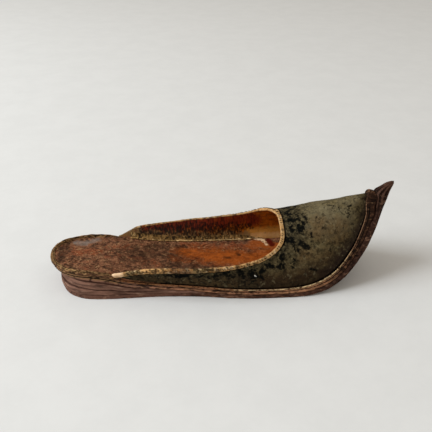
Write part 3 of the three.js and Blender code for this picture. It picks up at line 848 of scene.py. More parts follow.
OUTSOLE_STEPS = 26
OUTSOLE_EASE = 0.7
FOLD_COUNT = 2.5
FOLDS_IN = (256, 267)
FOLDS_OUT = (282, 287)
NECK_DEPTH = 0.4                # the beak thins at its neck and swells again towards its tip
NECK_SPAN = (277, 281)
TIP_SWELL = 1.1
TIP_SPAN = (281, 286)
BEAK_REACH = 1.5                # the old tip is drawn out by this much
BEAK_REACH_SPAN = (281, 288)
BEAK_POINT = np.array([0.55, 0.0, 0.83])
RIDGE_LOSS = 1.6                # how soon the painted highlight on a fold's ridge ends
# Stations over which the tones of the outsole change.
OUTSOLE_HEEL = (50, 130)
OUTSOLE_PROW = (165, 225)
OUTSOLE_RIDGE = (260, 270)
OUTSOLE_TIP = (278, 286)


def beak_folds(s, share):
    """Folds along the beak, 0 on a ridge and 1 in a groove."""
    return hump(s, FOLDS_IN, FOLDS_OUT) * (0.5 - 0.5 * np.cos(share * FULL_TURN * FOLD_COUNT))


def outsole_relief(depth):
    """Unevenness of the outsole's edge, the heel's hollow and folds of a depth along the beak."""
    def relief(s, side, height):
        share = height / sole["outsole"](s)
        return edge_relief(s, side, height) + depth * beak_folds(s, share) + heel_hollow(s, height)
    return relief


def outsole_rows(stations, fold_depth):
    """Rows of the outsole, with its keel, its folds and its drawn-out tip."""
    low = -toe_form(TOE_KEEL, stations)
    high = sole["outsole"](stations) + toe_form(TOE_LOBE, stations) - toe_form(BEAK_ROOT, stations)
    high = high + TIP_SWELL * rise(stations, TIP_SPAN) - NECK_DEPTH * rise(stations, NECK_SPAN)
    relief = outsole_relief(fold_depth)
    rows = layer_rows(stations, low, high, 0 * high, OUTSOLE_EASE, relief, OUTSOLE_STEPS)
    reach = BEAK_REACH * rise(stations, BEAK_REACH_SPAN)
    return rounded_ends(rows, 3, first=False) + reach[:, None, None] * BEAK_POINT


def outsole_leather(colours):
    """Cut edge of thick vegetable-tanned sole leather, dark with handling: matt, mottled, a little
    fibrous, with a painted highlight on the beak's fold ridges and painted shade in their grooves."""
    return worn_finish(
        "vegetable-tanned sole leather, worn edge", colours.outsole, (0.4, 1.7), 3.2, LENGTHWISE,
        layers=(cover("heel", "#6a4a3d", 0.8, 5, 1.4, pull=LENGTHWISE),
                cover("prow", "#34211a", 0.8, 4, 1.4)),
        flecks=((2.2, 0.13, "#94705a", 0.55), (2.6, 0.13, "#100806", 0.75)),
        # painted highlight on the folds' ridges
        patches=(cover("ridge", "#77594a", 0.4, 2.6, 5, 0.5),
                 # painted shade in the folds' grooves
                 cover("groove", "#0d0805", 0.65, 2.2, 3, 0.4),
                 cover("tip", "#4a3226", 0.6, 2.4, 1.8)),
        grain=(1.4, 0.35))


def build_outsole(sizes, colours):
    """The outsole, from the heel's foot to the tip of the beak."""
    stations = stations_to(SOLE_END, spacing=1.0)
    s = stations[:, None]
    folds = beak_folds(s, layer_shares(OUTSOLE_STEPS))
    # The beak's folds get a painted highlight on their ridges and painted shade in their grooves.
    piece = loft(
        "outsole_leather", outsole_rows(stations, sizes.fold_depth / MM),
        prow=rise(s, OUTSOLE_PROW), heel=fall(s, OUTSOLE_HEEL),
        ridge=rise(s, OUTSOLE_RIDGE) * (1 - RIDGE_LOSS * folds), groove=folds, tip=rise(s, OUTSOLE_TIP))
    finished(merged(piece), "outsole_leather", outsole_leather(colours), "outsole")


# Creases of the heel: station and height at both ends, width and depth.
HEEL_CREASES = (
    (8.3, 8.8, 14, 8.3, 0.8, 0.6),
    (14, 8.3, 26, 8.4, 0.8, 0.65),
    (26, 8.4, 38, 7.4, 0.8, 0.55),
    (38, 7.4, 54, 6.6, 0.7, 0.25),
    (8.4, 11.8, 18, 11.3, 1.0, 0.6),
    (20, 11.2, 44, 9.9, 0.7, 0.25),
    (12, 5.7, 34, 5.1, 0.6, 0.3),
    (30, 4.7, 66, 4.5, 0.6, 0.25),
    (46, 8.6, 74, 6.6, 0.6, 0.22),
)
CREASE_STEPS = 31
CREASE_SHADE = 1.6
HEEL_LUMPS = 0.22
LIFT_STEPS = 22
LIFT_EASE = 0.5
LIFT_SHARPER = 0.42             # the lifts' edges are sharper where the heel thins out
LIFT_SHARPER_SPAN = (34, 62)
LIFT_BELOW = 0.06               # gaps round the lifts
LIFT_ABOVE = 0.08
LIFT_APART = 0.04
LIFT_BACK = (9, 20)
JOINT_SHADE = 0.8
JOINT_SPAN = (0, 1.0)           # distance from a layer's edge over which the painted shadow of its joint shows
JOINT_END = (56, 90)


def crease_depth(points, side):
    """Depth of the heel's creases at points on or near one side of its edge."""
    def edge(s, height):
        return sole_edge(s, side, 0.0, height)

    depth_here = np.zeros(points.shape[:-1])
    for *row, depth in HEEL_CREASES:
        depth_here = np.maximum(depth_here, depth * near_line(points, edge, row, CREASE_STEPS))
    return depth_here


def heel_relief(s, side, height):
    """Creases, hollow and hand-made unevenness of the heel's edge."""
    points = sole_edge(s, side, 0.0, height)
    lumps = HEEL_LUMPS * unevenness(points, 6.0, 3, 3.1)
    return crease_depth(points, side) + heel_hollow(s, height) + lumps


def heel_leather(colours):
    """Stacked lifts of sole leather, burnished together: purple-brown, fine lines along the layers, painted
    shade in the creases and painted shadow lines where the layers meet.
    """
    return worn_finish(
        "stacked sole leather, burnished edge", colours.heel, (0.55, 1.45), 3.0, (0.16, 0.16, 1.5),
        layers=(cover("back", "#5a3f33", 0.6, 4, 2),),
        flecks=((2.2, 0.12, "#b8917a", 0.45), (2.6, 0.12, "#2a1812", 0.6)),
        # painted shade in the creases
        patches=(cover("crease", "#1c110d", 0.75, 1.8, 1.6),
                 # painted shadow lines where the layers meet
                 cover("joint", "#2a120c", 0.7, 2.6, 1.6, 0.3, LENGTHWISE)),
        grain=(1.3, 0.4), roughness=(0.5, 0.8))


def build_lift(node, stations, base, top, leather):
    """One lift of the heel between two heights at each station."""
    ease = LIFT_EASE - LIFT_SHARPER * rise(stations, LIFT_SHARPER_SPAN)
    rows = layer_rows(stations, base, top, 0 * base, ease, heel_relief, LIFT_STEPS)
    # painted shade that darkens the creases
    crease = CREASE_SHADE * np.maximum(crease_depth(rows, RIGHT), crease_depth(rows, LEFT))
    share = layer_shares(LIFT_STEPS)
    to_edge = (top - base)[:, None] * np.minimum(share, 1 - share)
    s = stations[:, None]
    # painted shadow line along the joints of the layers
    joint = JOINT_SHADE * fall(to_edge, JOINT_SPAN) * fall(s, JOINT_END)
    piece = loft(node + "_leather", rows, crease=crease, back=fall(s, LIFT_BACK), joint=joint)
    finished(merged(piece), "lift_leather", leather, node)


def build_heel(colours):
    """The two lifts of the heel with their creases."""
    stations = stations_to(LIFT_END)
    low = sole["outsole"](stations) + LIFT_BELOW
    high = sole["stack"](stations) - sole["welt"](stations) - LIFT_ABOVE
    split = low + (high - low) * LIFT_SPLIT
    leather = heel_leather(colours)
    build_lift("heel_lift_lower", stations, low, split - LIFT_APART, leather)
    build_lift("heel_lift_upper", stations, split + LIFT_APART, high, leather)


WELT_STEPS = 22
WELT_EASE = 0.55
WELT_GROOVE = 0.4
GROOVE_SHARE = (0.04, 0.17)     # distance from the stitches over which their groove ends
GROOVE_END = (264, 270)
STITCH_SHARE = 0.82             # height of the stitches, as a share of the welt's thickness
STITCH_LOWER = 0.1              # they lie this much lower round the toe
STITCH_SPAN = (165, 205)
WELT_LOBE = 1.3                 # swell of the welt's end, which lies over the toe
WELT_LOBE_SPAN = (268, 275)
WELT_LAP = 2.5                  # how far that end laps down over the beak
WELT_LAP_SPAN = (270, 275)
LOBE_RISE = 1.2                 # the top of the welt and the rand rise this much more than the toe's lobe
# Stations over which the tones of the welt change, and the shares of its thickness where the painted shadow
# of its joint shows.
WELT_HEEL = (45, 110)
WELT_PROW = (178, 232)
WELT_RUBBED_IN = (150, 180)
WELT_RUBBED_OUT = (205, 230)
WELT_GREASY_END = (44, 58)
WELT_GREASY_UP = (0.4, 0.65)
WELT_JOINT = (0.04, 0.22)
WELT_JOINT_SHADE = 0.8
WELT_JOINT_HEEL = (0.35, 0.26)  # how much darker and how much wider the painted joint shadow is at the heel


def welt_stitch_share(s):
    """Height of the stitches on the welt, as a share of its thickness."""
    return STITCH_SHARE - STITCH_LOWER * rise(s, STITCH_SPAN)


def welt_groove(s, share):
    """The groove in which the welt's stitches lie, 1 at its middle."""
    return fall(np.abs(share - welt_stitch_share(s)), GROOVE_SHARE) * fall(s, GROOVE_END)


def welt_relief(s, side, height):
    """Unevenness of the welt's edge, its groove and the heel's hollow."""
    share = 1 + (height - sole["stack"](s)) / sole["welt"](s)
    return edge_relief(s, side, height) + WELT_GROOVE * welt_groove(s, share) + heel_hollow(s, height)


def welt_rows(stations):
    """Rows of the welt up to its lobe over the toe."""
    lobe = toe_form(TOE_LOBE, stations)
    low = sole["stack"](stations) - sole["welt"](stations) + lobe - toe_form(BEAK_ROOT, stations)
    low = low - WELT_LAP * rise(stations, WELT_LAP_SPAN)
    high = sole["stack"](stations) + LOBE_RISE * lobe + WELT_LOBE * rise(stations, WELT_LOBE_SPAN)
    rows = layer_rows(stations, low, high, 0 * low, WELT_EASE, welt_relief, WELT_STEPS)
    return rounded_ends(rows, 4, first=False)


def welt_leather(colours):
    """Welt of sole leather, its edge rubbed pale in spots, darker in its groove, and with a painted shadow
    line at its lower joint.
    """
    return worn_finish(
        "welt of sole leather, rubbed edge", colours.welt, (0.4, 1.6), 2.6, LENGTHWISE,
        layers=(cover("heel", "#7f5c4c", 0.8, 4, 1.6, pull=LENGTHWISE),
                cover("greasy", "#80603f", 0.85, 3, 2.4, 0.4, LENGTHWISE),
                cover("rubbed", "#a87c58", 0.5, 3, 4, pull=LENGTHWISE),
                cover("prow", "#1d110b", 0.95, 3.4, 2.2, 0.4)),
        flecks=((2.2, 0.11, "#a07a58", 0.4), (2.4, 0.15, "#120a07", 0.8)),
        # painted shadow line where the welt meets the layers below it
        patches=(cover("joint", "#2a110b", 0.85, 2.6, 2.0, pull=LENGTHWISE),
                 cover("groove", "#120b08", 0.85, 2.2, 2)),
        grain=(1.2, 0.35))


def build_welt(colours):
    """The welt round the whole shoe, with the groove of its stitches."""
    stations = stations_to(WELT_END, spacing=1.0)
    s = stations[:, None]
    share = layer_shares(WELT_STEPS)
    heel = fall(s, WELT_HEEL)
    darker, wider = WELT_JOINT_HEEL
    # painted shadow line at the welt's lower joint
    joint = fall(share, (WELT_JOINT[0], WELT_JOINT[1] + wider * heel))
    piece = loft(
        "welt_leather", welt_rows(stations), prow=rise(s, WELT_PROW), heel=heel,
        groove=welt_groove(s, share), rubbed=hump(s, WELT_RUBBED_IN, WELT_RUBBED_OUT),
        joint=(WELT_JOINT_SHADE + darker * heel) * joint,
        greasy=fall(s, WELT_GREASY_END) * rise(share, WELT_GREASY_UP))
    finished(merged(piece), "welt_leather", welt_leather(colours), "welt")


INSOLE_EDGE_STEPS = 6
INSOLE_TOP_STEPS = 70
INSOLE_EASE = 0.45
INSOLE_LUMPS = 0.4
INSOLE_SUNK = 0.05
SEAT_INSET = 3.1
TOE_INSET = 5.4
LINING_ROOM = 0.25              # between the insole and the lining
SEAT_TO_WAIST = (44, 56)
BALL_TO_TOE = (175, 190)
WAIST_START = 50.0
WAIST_END = 185.0

# Marks on the insole: station and y at both ends, radius and strength.
INSOLE_WORN = (
    (106, 5, 165, 4, 19, 1.5),
    (92, 11, 110, 7, 8, 1.1),
    (92, 0, 110, -2, 9, 0.8),
    (160, 4, 200, 0, 20, 1.4),
)
INSOLE_BRIGHT = (
    (120, 4, 158, 1, 15, 1.5),
    (98, 9, 122, 7, 9, 1.3),
    (150, 7, 178, 4, 11, 1.1),
    (154, 23, 172, 17, 10, 1.2),
)
INSOLE_RUSSET = (
    (18, 3, 34, 2, 10, 0.75),
    (40, 8, 60, 10, 8, 0.5),
    (60, -4, 78, -8, 9, 0.45),
    (98, 19, 160, 20, 9, 0.9),
)
# Painted grey sheen on the seat: station and y at both ends, radius and strength.
INSOLE_SHEEN = (
    (16, 14.5, 30, 17, 6, 0.9),
    (20, 12, 24, 12, 4, 0.8),
)
INSOLE_STREAK = ((104, 4, 168, 2, 22, 0.4),)
INSOLE_DARK = (
    (9, -8, 9.5, 10, 6, 0.85),
    (8, 6, 10, 14, 6, 0.9),
    (12, -14, 20, -20, 4, 0.5),
    (92, 16.5, 99, 17, 4.5, 0.95),
    (129.4, 3.4, 132, 3.6, 3.2, 1.0),
    (138.4, 9.4, 140, 7.6, 3.2, 0.95),
    (118, -9, 126, -10, 4, 0.7),
    (104, -2, 107, -1, 2.5, 0.6),
    (148, 10, 150, 9, 2.2, 0.6),
    (70, 14, 84, 16, 6, 0.6),
    (60, 2, 92, 4, 22, 0.62),
    (86, -8, 118, -14, 12, 0.7),
)
INSOLE_HOLE = ((165.9, 28, 167.9, 21.5, 4.0, 1.5),)
INSOLE_SCUFF = (
    (155.8, 30.4, 156.8, 30.2, 2.4, 1.2),
    (158.4, 30.0, 160.4, 29.6, 2.8, 1.3),
    (161.4, 28.6, 161.8, 28.0, 3.0, 1.4),
    (162.5, 26.4, 162.7, 25.8, 2.4, 1.2),
    (163.6, 22.8, 163.8, 22.0, 2.6, 1.2),
    (143, 29.2, 146, 29.4, 2.2, 0.9),
)
RUBBED_MARKS = {
    "worn": INSOLE_WORN,
    "bright": INSOLE_BRIGHT,
    "russet": INSOLE_RUSSET,
    "grey_sheen": INSOLE_SHEEN,
    "streak": INSOLE_STREAK,
}
SHARP_MARKS = {"dark": INSOLE_DARK, "hole": INSOLE_HOLE, "scuff": INSOLE_SCUFF}


def insole_height(s):
    """Height of the insole's top above the bottom of the sole."""
    return sole["stack"](s) + GAP + sole["insole"](s)


def insole_point(s, y):
    """A point on top of the insole by station and y."""
    return raised(s, y, insole_height(s))


def inside_half(stations, height):
    """Half the room between the linings at a height above the sole."""
    t = share_at_height(stations, height, -WALL)
    return np.abs(wall(stations, t, -WALL)[:, 1])


def insole_inset(stations, height):
    """Sole edge to insole: inside the rim at the seat, out to the lining at the waist and the ball."""
    waist = sole["half"](stations) - sole["draw"](stations) * height
    waist = waist - inside_half(np.clip(stations, WAIST_START, WAIST_END), height) + LINING_ROOM
    held = rise(stations, SEAT_TO_WAIST)
    toe = rise(stations, BALL_TO_TOE)
    return (SEAT_INSET + (waist - SEAT_INSET) * held) * (1 - toe) + TOE_INSET * toe


def insole_crown(s, y):
    """Soft hollows and lumps of the old insole."""
    points = np.stack(np.broadcast_arrays(s, y, 0 * y), -1)
    return INSOLE_LUMPS * unevenness(points, 12.0, 4, 5.0) - INSOLE_SUNK


def insole_leather(colours):
    """Flesh side of thin leather, worn smooth and orange under the foot, fibrous and speckled elsewhere, with
    a painted grey sheen on the seat.
    """
    return worn_finish(
        "flesh-side insole leather, worn", colours.insole, (0.42, 1.65), 4.4, (0.8, 1, 1),
        layers=(cover("russet", "#8f4a2a", 0.6, 4, 2.2),
                cover("worn", "#8a4317", 0.85, 6, 2.4, 0.6, LENGTHWISE)),
        flecks=((3.0, 0.14, "#b88c62", 0.55), (5.0, 0.13, "#8e4426", 0.3),
                (3.2, 0.16, "#241207", 0.7), (2.2, 0.14, "#2a1508", 0.6)),
        patches=(cover("bright", colours.worn, 0.8, 4, 3.6, 0.6, LENGTHWISE),
                 cover("streak", "#451b09", 0.5, 4.5, 5, 0.5),
                 # painted sheen on the seat
                 cover("grey_sheen", "#857c74", 0.6, 3, 1.6, 0.4),
                 cover("dark", "#20130a", 0.7, 3, 2.6, 0.4),
                 cover("scuff", "#f0cda0", 0.95, 1.5, 4.6, 0.4),
                 cover("hole", "#520e06", 0.95, 2, 3.2, 0.4)),
        grain=(1.6, 0.4), roughness=(0.45, 0.8), curl=1.8)


def build_insole(colours):
    """The worn insole, from inside the rim to inside the toe."""
    stations = stations_to(INSOLE_END)
    low = sole["stack"](stations) + GAP
    high = insole_height(stations)
    rows = layer_rows(
        stations, low, high, insole_inset(stations, high), INSOLE_EASE,
        steps=INSOLE_EDGE_STEPS, across=INSOLE_TOP_STEPS, crown=insole_crown)
    rubbed = wobbled(rows, 9.0, 3.0)
    fields = {field: marks(rubbed, insole_point, table) for field, table in RUBBED_MARKS.items()}
    fields |= {field: marks(rows, insole_point, table) for field, table in SHARP_MARKS.items()}
    piece = loft("insole_leather", rows, **fields)
    finished(merged(piece), "insole_leather", insole_leather(colours), "insole")


RIM_TURNS = np.linspace(0, FULL_TURN, 61)[:-1]
RIM_SQUARE = 0.75               # power that squares the rim's round section
RIM_GROOVES = ((0.5, 0.2), (1.3, 0.24), (2.2, 0.24))    # turn round the section and depth
RIM_GROOVE_WIDTH = 0.24
RIM_GROOVE_SHADE = 4
RIM_LUMPS = 0.17
RIM_SHOWN_FRONT = 48.6
RIM_TILT = 0.9                  # the left side of the rim stands a little higher
RIM_TILT_SPAN = (0, 18)
UPWARD = np.array([0.0, 0.0, 1.0])


def rim_groove():
    """Depth of the rim's grooves round its section."""
    groove = np.zeros(len(RIM_TURNS))
    for turn, depth in RIM_GROOVES:
        groove += depth * np.exp(-((RIM_TURNS - turn) / RIM_GROOVE_WIDTH) ** 2)
    return groove


def rim_path():
    """The middle of the rim from right to left round the back of the seat."""
    stations = stations_to(RIM_SHOWN_FRONT)
    height = sole["stack"](stations) + GAP + RIM_HEIGHT / 2
    right = sole_edge(stations, RIGHT, RIM_WIDTH / 2, height)
    left = sole_edge(stations, LEFT, RIM_WIDTH / 2, height)
    path = np.concatenate([right[::-1], left[1:]])
    path[:, 2] += RIM_TILT * rise(path[:, 1], RIM_TILT_SPAN)
    return path


def rim_rows(path):
    """Rows round the rolled strip of the rim."""
    wide, high = [np.sign(v) * np.abs(v) ** RIM_SQUARE for v in (np.cos(RIM_TURNS), np.sin(RIM_TURNS))]
    outline = np.column_stack([wide * RIM_WIDTH / 2, high * RIM_HEIGHT / 2]) * (1 - rim_groove())[:, None]
    rows = sweep(path, UPWARD, outline)
    return rounded_ends(swollen(rows, path[:, None], 1 + RIM_LUMPS * unevenness(rows, 4.0, 3, 2.2)), 4)


def rim_leather(colours):
    """Rolled strip of thin leather, fibrous and greasy: tan ridges with painted shade in the grooves between
    them.
    """
    return worn_finish(
        "rolled rim leather, greasy", colours.rim, (0.4, 1.7), 3.0, (0.6, 0.9, 1),
        layers=(cover("outer", "#5c3d2c", 0.75, 3, 2),),
        flecks=((3.0, 0.18, "#c99f6a", 0.75), (3.2, 0.17, "#150d07", 0.85)),
        # painted shade in the grooves between the ridges
        patches=(cover("groove", "#140c07", 0.85, 2.4, 2),), grain=(1.4, 0.4), curl=1.2)


def build_rim(colours):
    """The rolled rim of the seat."""
    outer = -np.cos(RIM_TURNS)[None, :]
    # painted shade in the rim's grooves
    groove = RIM_GROOVE_SHADE * rim_groove()[None, :]
    piece = loft(
        "seat_rim_leather", closed_ring(rim_rows(rim_path())),
        outer=closed_ring(outer), groove=closed_ring(groove))
    finished(merged(piece), "rim_leather", rim_leather(colours), "seat_rim")


RIM_FIBRES = 120
FIBRE_STEPS = 8
FIBRE_RADIUS = 0.16
FIBRE_SIDES = 4
FIBRE_LENGTH = (2.5, 9.0)
FIBRE_BOW = (-3, 3)             # columns of the rim's section that a fibre wanders over
FIBRE_PLACE = (-0.06, 0.44)     # shares of the section on which the fibres lie
FIBRE_PROUD = 1.03
FIBRE_MARGIN = (3, 12)          # run of the rim without fibres at its right and left end
FIBRE_CROWD = (1.1, 2.0)        # crowds the fibres towards the right side


def build_rim_fibres():
    """Loose fibres on the rim."""
    rng = np.random.default_rng(3)
    path = rim_path()
    run = run_along(path)
    rows = rim_rows(path)
    centre = rows.mean(axis=1, keepdims=True)
    rows = centre + (rows - centre) * FIBRE_PROUD
    lengths = draws(rng, *FIBRE_LENGTH, RIM_FIBRES)
    room = run[-1] - sum(FIBRE_MARGIN)
    start = FIBRE_MARGIN[0] + room * rng.beta(*FIBRE_CROWD, RIM_FIBRES)
    share = np.linspace(0, 1, FIBRE_STEPS)[None, :]
    at = start[:, None] + lengths * share
    bow = draws(rng, *FIBRE_BOW, RIM_FIBRES) * share + draws(rng, *FIBRE_BOW, RIM_FIBRES) * share ** 2
    column = draws(rng, *FIBRE_PLACE, RIM_FIBRES) * len(RIM_TURNS) + bow
    paths = between(rows, np.interp(at, run, np.arange(len(run))), column)
    # Loose fibre of the strip's flesh side, golden where it catches the light.
    fibre = worn_finish(
        "frayed leather fibre, golden", "#96744c", (0.45, 1.4), 3.0,
        flecks=((3.4, 0.18, "#22150c", 0.85),), grain=FIBRE_GRAIN)
    finished(threads("rim_fibres", paths, FIBRE_RADIUS, FIBRE_SIDES), "rim_leather", fibre, "seat_rim")


RAND_TURNS = np.linspace(0, FULL_TURN, 11)[:-1]
RAND_OVER = 2.4                 # how far past its sides the rand passes over the toe
RAND_SLIM = 0.62                # shares of the full radius that show, more from the ball to the toe
RAND_FULLER = 0.2
RAND_FULLER_IN = (150, 185)
RAND_FULLER_OUT = (215, 245)
RAND_LUMPS = 0.35
RAND_BROWN = (90, 175)
RAND_PROW = (205, 250)


def rand_height(s):
    """Height of the rand's middle above the bottom of the sole."""
    return sole["stack"](s) + GAP / 2 + RAND_RADIUS


def rand_rows():
    """Rows round the piping from the right tab over the toe to the left tab, and their stations."""
    stations = stations_to(RAND_TOE, RAND_BACK, 0.9)
    lobe = LOBE_RISE * toe_form(TOE_LOBE, stations)
    right = sole_edge(stations, RIGHT, RAND_INSET, rand_height(stations) + lobe)
    top_station = np.array([RAND_TOE + RAND_OVER])
    top = raised(top_station, 0.0, rand_height(top_station))
    path = np.concatenate([right, top, (right * (1, -1, 1))[::-1]])
    along = np.concatenate([stations, top_station, stations[::-1]])
    angle = np.radians(sole["angle"](along))
    up = np.column_stack([-np.sin(angle), 0 * angle, np.cos(angle)])
    radius = RAND_RADIUS * (RAND_SLIM + RAND_FULLER * hump(along, RAND_FULLER_IN, RAND_FULLER_OUT))
    circle = np.column_stack([np.cos(RAND_TURNS), np.sin(RAND_TURNS)])
    rows = sweep(path, up, circle * radius[:, None, None])
    rows = swollen(rows, path[:, None], 1 + RAND_LUMPS * unevenness(rows, 2.5, 2, 4.4))
    return rounded_ends(rows, 3), along[:, None]


def build_rand(colours):
    """The piping between the welt and the vamp."""
    rows, s = rand_rows()
    piece = loft("rand_piping", closed_ring(rows), back=fall(s, RAND_BROWN), prow=rise(s, RAND_PROW))
    # Piping of thin pale leather, soiled in places and browner towards the heel.
    leather = worn_finish(
        "piped rand leather, soiled", colours.rand, (0.5, 1.35), 3.0,
        layers=(cover("back", "#87502a", 0.85, 4, 2), cover("prow", "#7f5c48", 0.85, 4, 1.6)),
        flecks=((2.6, 0.19, "#3a2415", 0.9),), grain=(0.8, 0.2))
    finished(merged(piece), "rand_leather", leather, "rand")


# Upper

# Stations of the vamp's rows, closer together round the front of the throat.
ROWS_CLOSE = (156, 174)
VAMP_ROWS = np.unique(np.concatenate([
    np.linspace(UPPER_BACK, ROWS_CLOSE[0], 100), np.linspace(*ROWS_CLOSE, 60),
    np.linspace(ROWS_CLOSE[1], UPPER_TOE, 92)]))
VAMP_COLUMNS = 70
VAMP_LUMPS = 0.16
VAMP_FOOT = (0, 0.06)           # share of a section over which its unevenness comes in
SKIN_EDGE = 0.5                 # how deep under the binding skin and lining end, as shares of its width
LINING_EDGE = 0.36

# Soft troughs of the vamp: station and section share at both ends, width and depth.
VAMP_CREASES = (
    (152, 0.5, 178, 0.26, 6, 0.5),
    (168, 0.66, 186, 0.42, 5, 0.4),
    (180, 0.8, 198, 0.6, 6, 0.35),
    (118, 0.42, 136, 0.2, 6, 0.45),
    (92, 0.4, 110, 0.16, 6, 0.45),
    (205, 0.9, 232, 0.75, 8, 0.4),
    (212, 0.45, 240, 0.3, 8, 0.35),
)

# Nap that is left: station and section share at both ends, radius and strength.
NAP_NEAR = (
    (187.5, 0.74, 186.1, 0.66, 4.5, 1.3),
    (183.1, 0.5, 186.5, 0.465, 3.1, 1.2),
    (186.5, 0.465, 190, 0.41, 3.2, 1.2),
    (171.9, 0.58, 176.7, 0.545, 3.8, 1.2),
    (176.7, 0.545, 181, 0.435, 3.6, 1.1),
    (177, 1.0, 180.7, 0.95, 4.1, 1.1),
    (180.7, 0.95, 184.7, 0.91, 3.4, 1.0),
    (178, 0.87, 180, 0.82, 4.3, 1.1),
    (185.3, 0.84, 185.6, 0.8, 3.2, 1.0),
    (186, 0.99, 188, 0.97, 2.7, 0.9),
    (191.5, 0.9, 192, 0.89, 2.2, 0.8),
    (191.9, 0.83, 192.4, 0.81, 3.1, 1.0),
    (193.3, 0.76, 193.4, 0.74, 2.5, 0.9),
    (177.9, 0.73, 179.3, 0.665, 3.8, 1.1),
    (194.1, 0.58, 194, 0.54, 3.2, 1.1),
    (188.5, 0.59, 188.8, 0.57, 2.5, 0.8),
    (193.5, 0.66, 193.7, 0.65, 2.2, 0.7),
    (167.3, 0.425, 167.9, 0.35, 3.8, 1.1),
    (165, 0.3, 168, 0.278, 3.8, 1.1),
    (175.1, 0.36, 175.4, 0.35, 2.2, 0.9),
    (176.7, 0.32, 177, 0.31, 2.3, 0.9),
    (179.5, 0.32, 179.8, 0.31, 2.2, 0.9),
    (175.3, 0.27, 176, 0.26, 2.5, 1.0),
    (189.9, 0.2, 195.9, 0.145, 2.7, 0.9),
    (239.6, 0.745, 239, 0.6, 2.9, 1.1),
    (233.6, 0.62, 233.8, 0.61, 2.2, 0.9),
    (236, 0.54, 236.2, 0.52, 2.3, 0.9),
    (246, 0.84, 249.4, 0.71, 2.5, 1.0),
    (218, 0.93, 222.2, 0.85, 2.3, 1.0),
    (217.8, 0.81, 218, 0.8, 2.2, 0.8),
    (225.4, 0.766, 230, 0.762, 2.0, 0.9),
    (203.5, 0.77, 203.6, 0.74, 2.7, 0.7),
    (207.1, 0.585, 207.3, 0.575, 2.0, 0.9),
    (229.2, 0.43, 229.4, 0.42, 2.3, 0.7),
    (208.7, 0.41, 208.9, 0.4, 2.2, 0.8),
    (214.5, 0.35, 214.7, 0.34, 2.3, 0.7),
    (193.5, 0.465, 194.7, 0.415, 2.9, 0.8),
    (210.3, 0.285, 210.6, 0.275, 2.3, 0.7),
    (126, 0.34, 131, 0.25, 3.8, 1.0),
    (136.5, 0.32, 139, 0.24, 4.1, 1.1),
    (143.5, 0.29, 148, 0.2, 4.5, 1.2),
    (152.1, 0.29, 153, 0.2, 4.1, 1.1),
    (156.5, 0.34, 160, 0.3, 3.8, 1.1),
    (119, 0.27, 120, 0.23, 3.8, 1.0),
    (105, 0.28, 112, 0.3, 2.9, 0.9),
    (92, 0.275, 99, 0.285, 4.0, 1.4),
    (80, 0.28, 88, 0.28, 2.7, 0.8),
)
NAP_FAR = (
    (178, 1.0, 181, 0.93, 4.4, 1.0),
    (185, 0.9, 189, 0.82, 3.6, 1.0),
    (178, 0.8, 182, 0.7, 4.0, 1.1),
    (194, 0.72, 198, 0.64, 3.4, 0.9),
    (186, 0.6, 189, 0.52, 3.6, 1.0),
    (172, 0.56, 178, 0.44, 3.8, 1.1),
    (162, 0.42, 168, 0.34, 4.0, 1.0),
    (148, 0.34, 156, 0.28, 4.2, 1.0),
    (128, 0.3, 138, 0.26, 4.2, 1.0),
    (104, 0.3, 114, 0.25, 3.6, 0.9),
    (82, 0.3, 94, 0.26, 3.4, 0.9),
    (205, 0.5, 207, 0.47, 2.4, 0.8),
    (216, 0.78, 219, 0.74, 2.8, 0.9),
    (234, 0.6, 236, 0.56, 2.6, 0.8),
    (226, 0.36, 229, 0.33, 2.6, 0.8),
    (196, 0.3, 199, 0.26, 2.8, 0.8),
)
# Ground on the crown of the toe, lighter partly from wear and partly as a painted highlight where the crown
# faces the light: station and section share at both ends, radius and strength.
NAP_RUBBED_AND_LIT = (
    (206, 0.85, 228, 0.55, 19, 1.0),
    (232, 0.9, 246, 0.86, 9, 0.7),
    (196, 0.66, 206, 0.5, 9, 0.6),
)
NAP_BROWN = (
    (66, 0.1, 140, 0.1, 13, 1.0),
    (204, 0.6, 222, 0.45, 17, 0.9),
    (150, 0.12, 185, 0.14, 10, 0.9),
    (186, 0.34, 204, 0.26, 12, 0.7),
)
CHALK = ((147.3, 0.225, 147.8, 0.21, 1.1, 1.0),)

# Distances below the topline over which its dusk, specks and the painted shadow under the binding end.
DUSK_SPAN = (3, 24)
SPECKLE_SPAN = (3, 34)
SPECKLE = (0.1, 1.3)            # strength at the topline, and how much of it is lost below
TOPLINE_SHADOW = (0, 2.4)
# Distances up from the foot, and stations, over which the painted shade along the foot and on the lower wall
# changes.
FOOT_SHADOW = 2.4
PROW_SHADOW_WIDENING = 2                  # the painted shadow line is this much wider at the prow
PROW_SPAN = (185, 215)
PROW_SHADE = (0, 17)
LOW_SPAN = (5, 27)
LOW_TOE = (0.4, (205, 240))     # how much weaker the painted shade is round the toe
LOW_WAIST = (0.55, (115, 160))  # how strong it is at the waist


def vamp_half(side, stations, line, grow, creases):
    """Points of one half of the upper from foot to topline or crown, closed at the toe."""
    shares = np.linspace(0, 1, VAMP_COLUMNS + 1)[None, :] * cut_shares(stations, line)[:, None]
    s = stations[:, None]
    base = wall(s, shares, 0.0, side)
    relief = VAMP_LUMPS * unevenness(base, 8.0, 3, 1.3)
    for *row, depth in creases:
        relief = relief - depth * near_line(base, wall_surface(0.0, side), row)
    points = wall(s, shares, grow + relief * rise(shares, VAMP_FOOT), side)
    toe = points[-1:] * (1, 0, 1)
    return np.concatenate([points, toe])


def both_halves(name, stations, make_half, inward=False):
    """Joins a right and a left half; make_half gives the points and the fields of one side."""
    halves = []
    for side in (RIGHT, LEFT):
        points, fields = make_half(side, stations)
        if (side < 0) != inward:
            points = points[:, ::-1]
            fields = {field: values[:, ::-1] for field, values in fields.items()}
        halves.append(loft(name + "_half", points, **fields))
    return merged(joined(name, halves), outward=False)


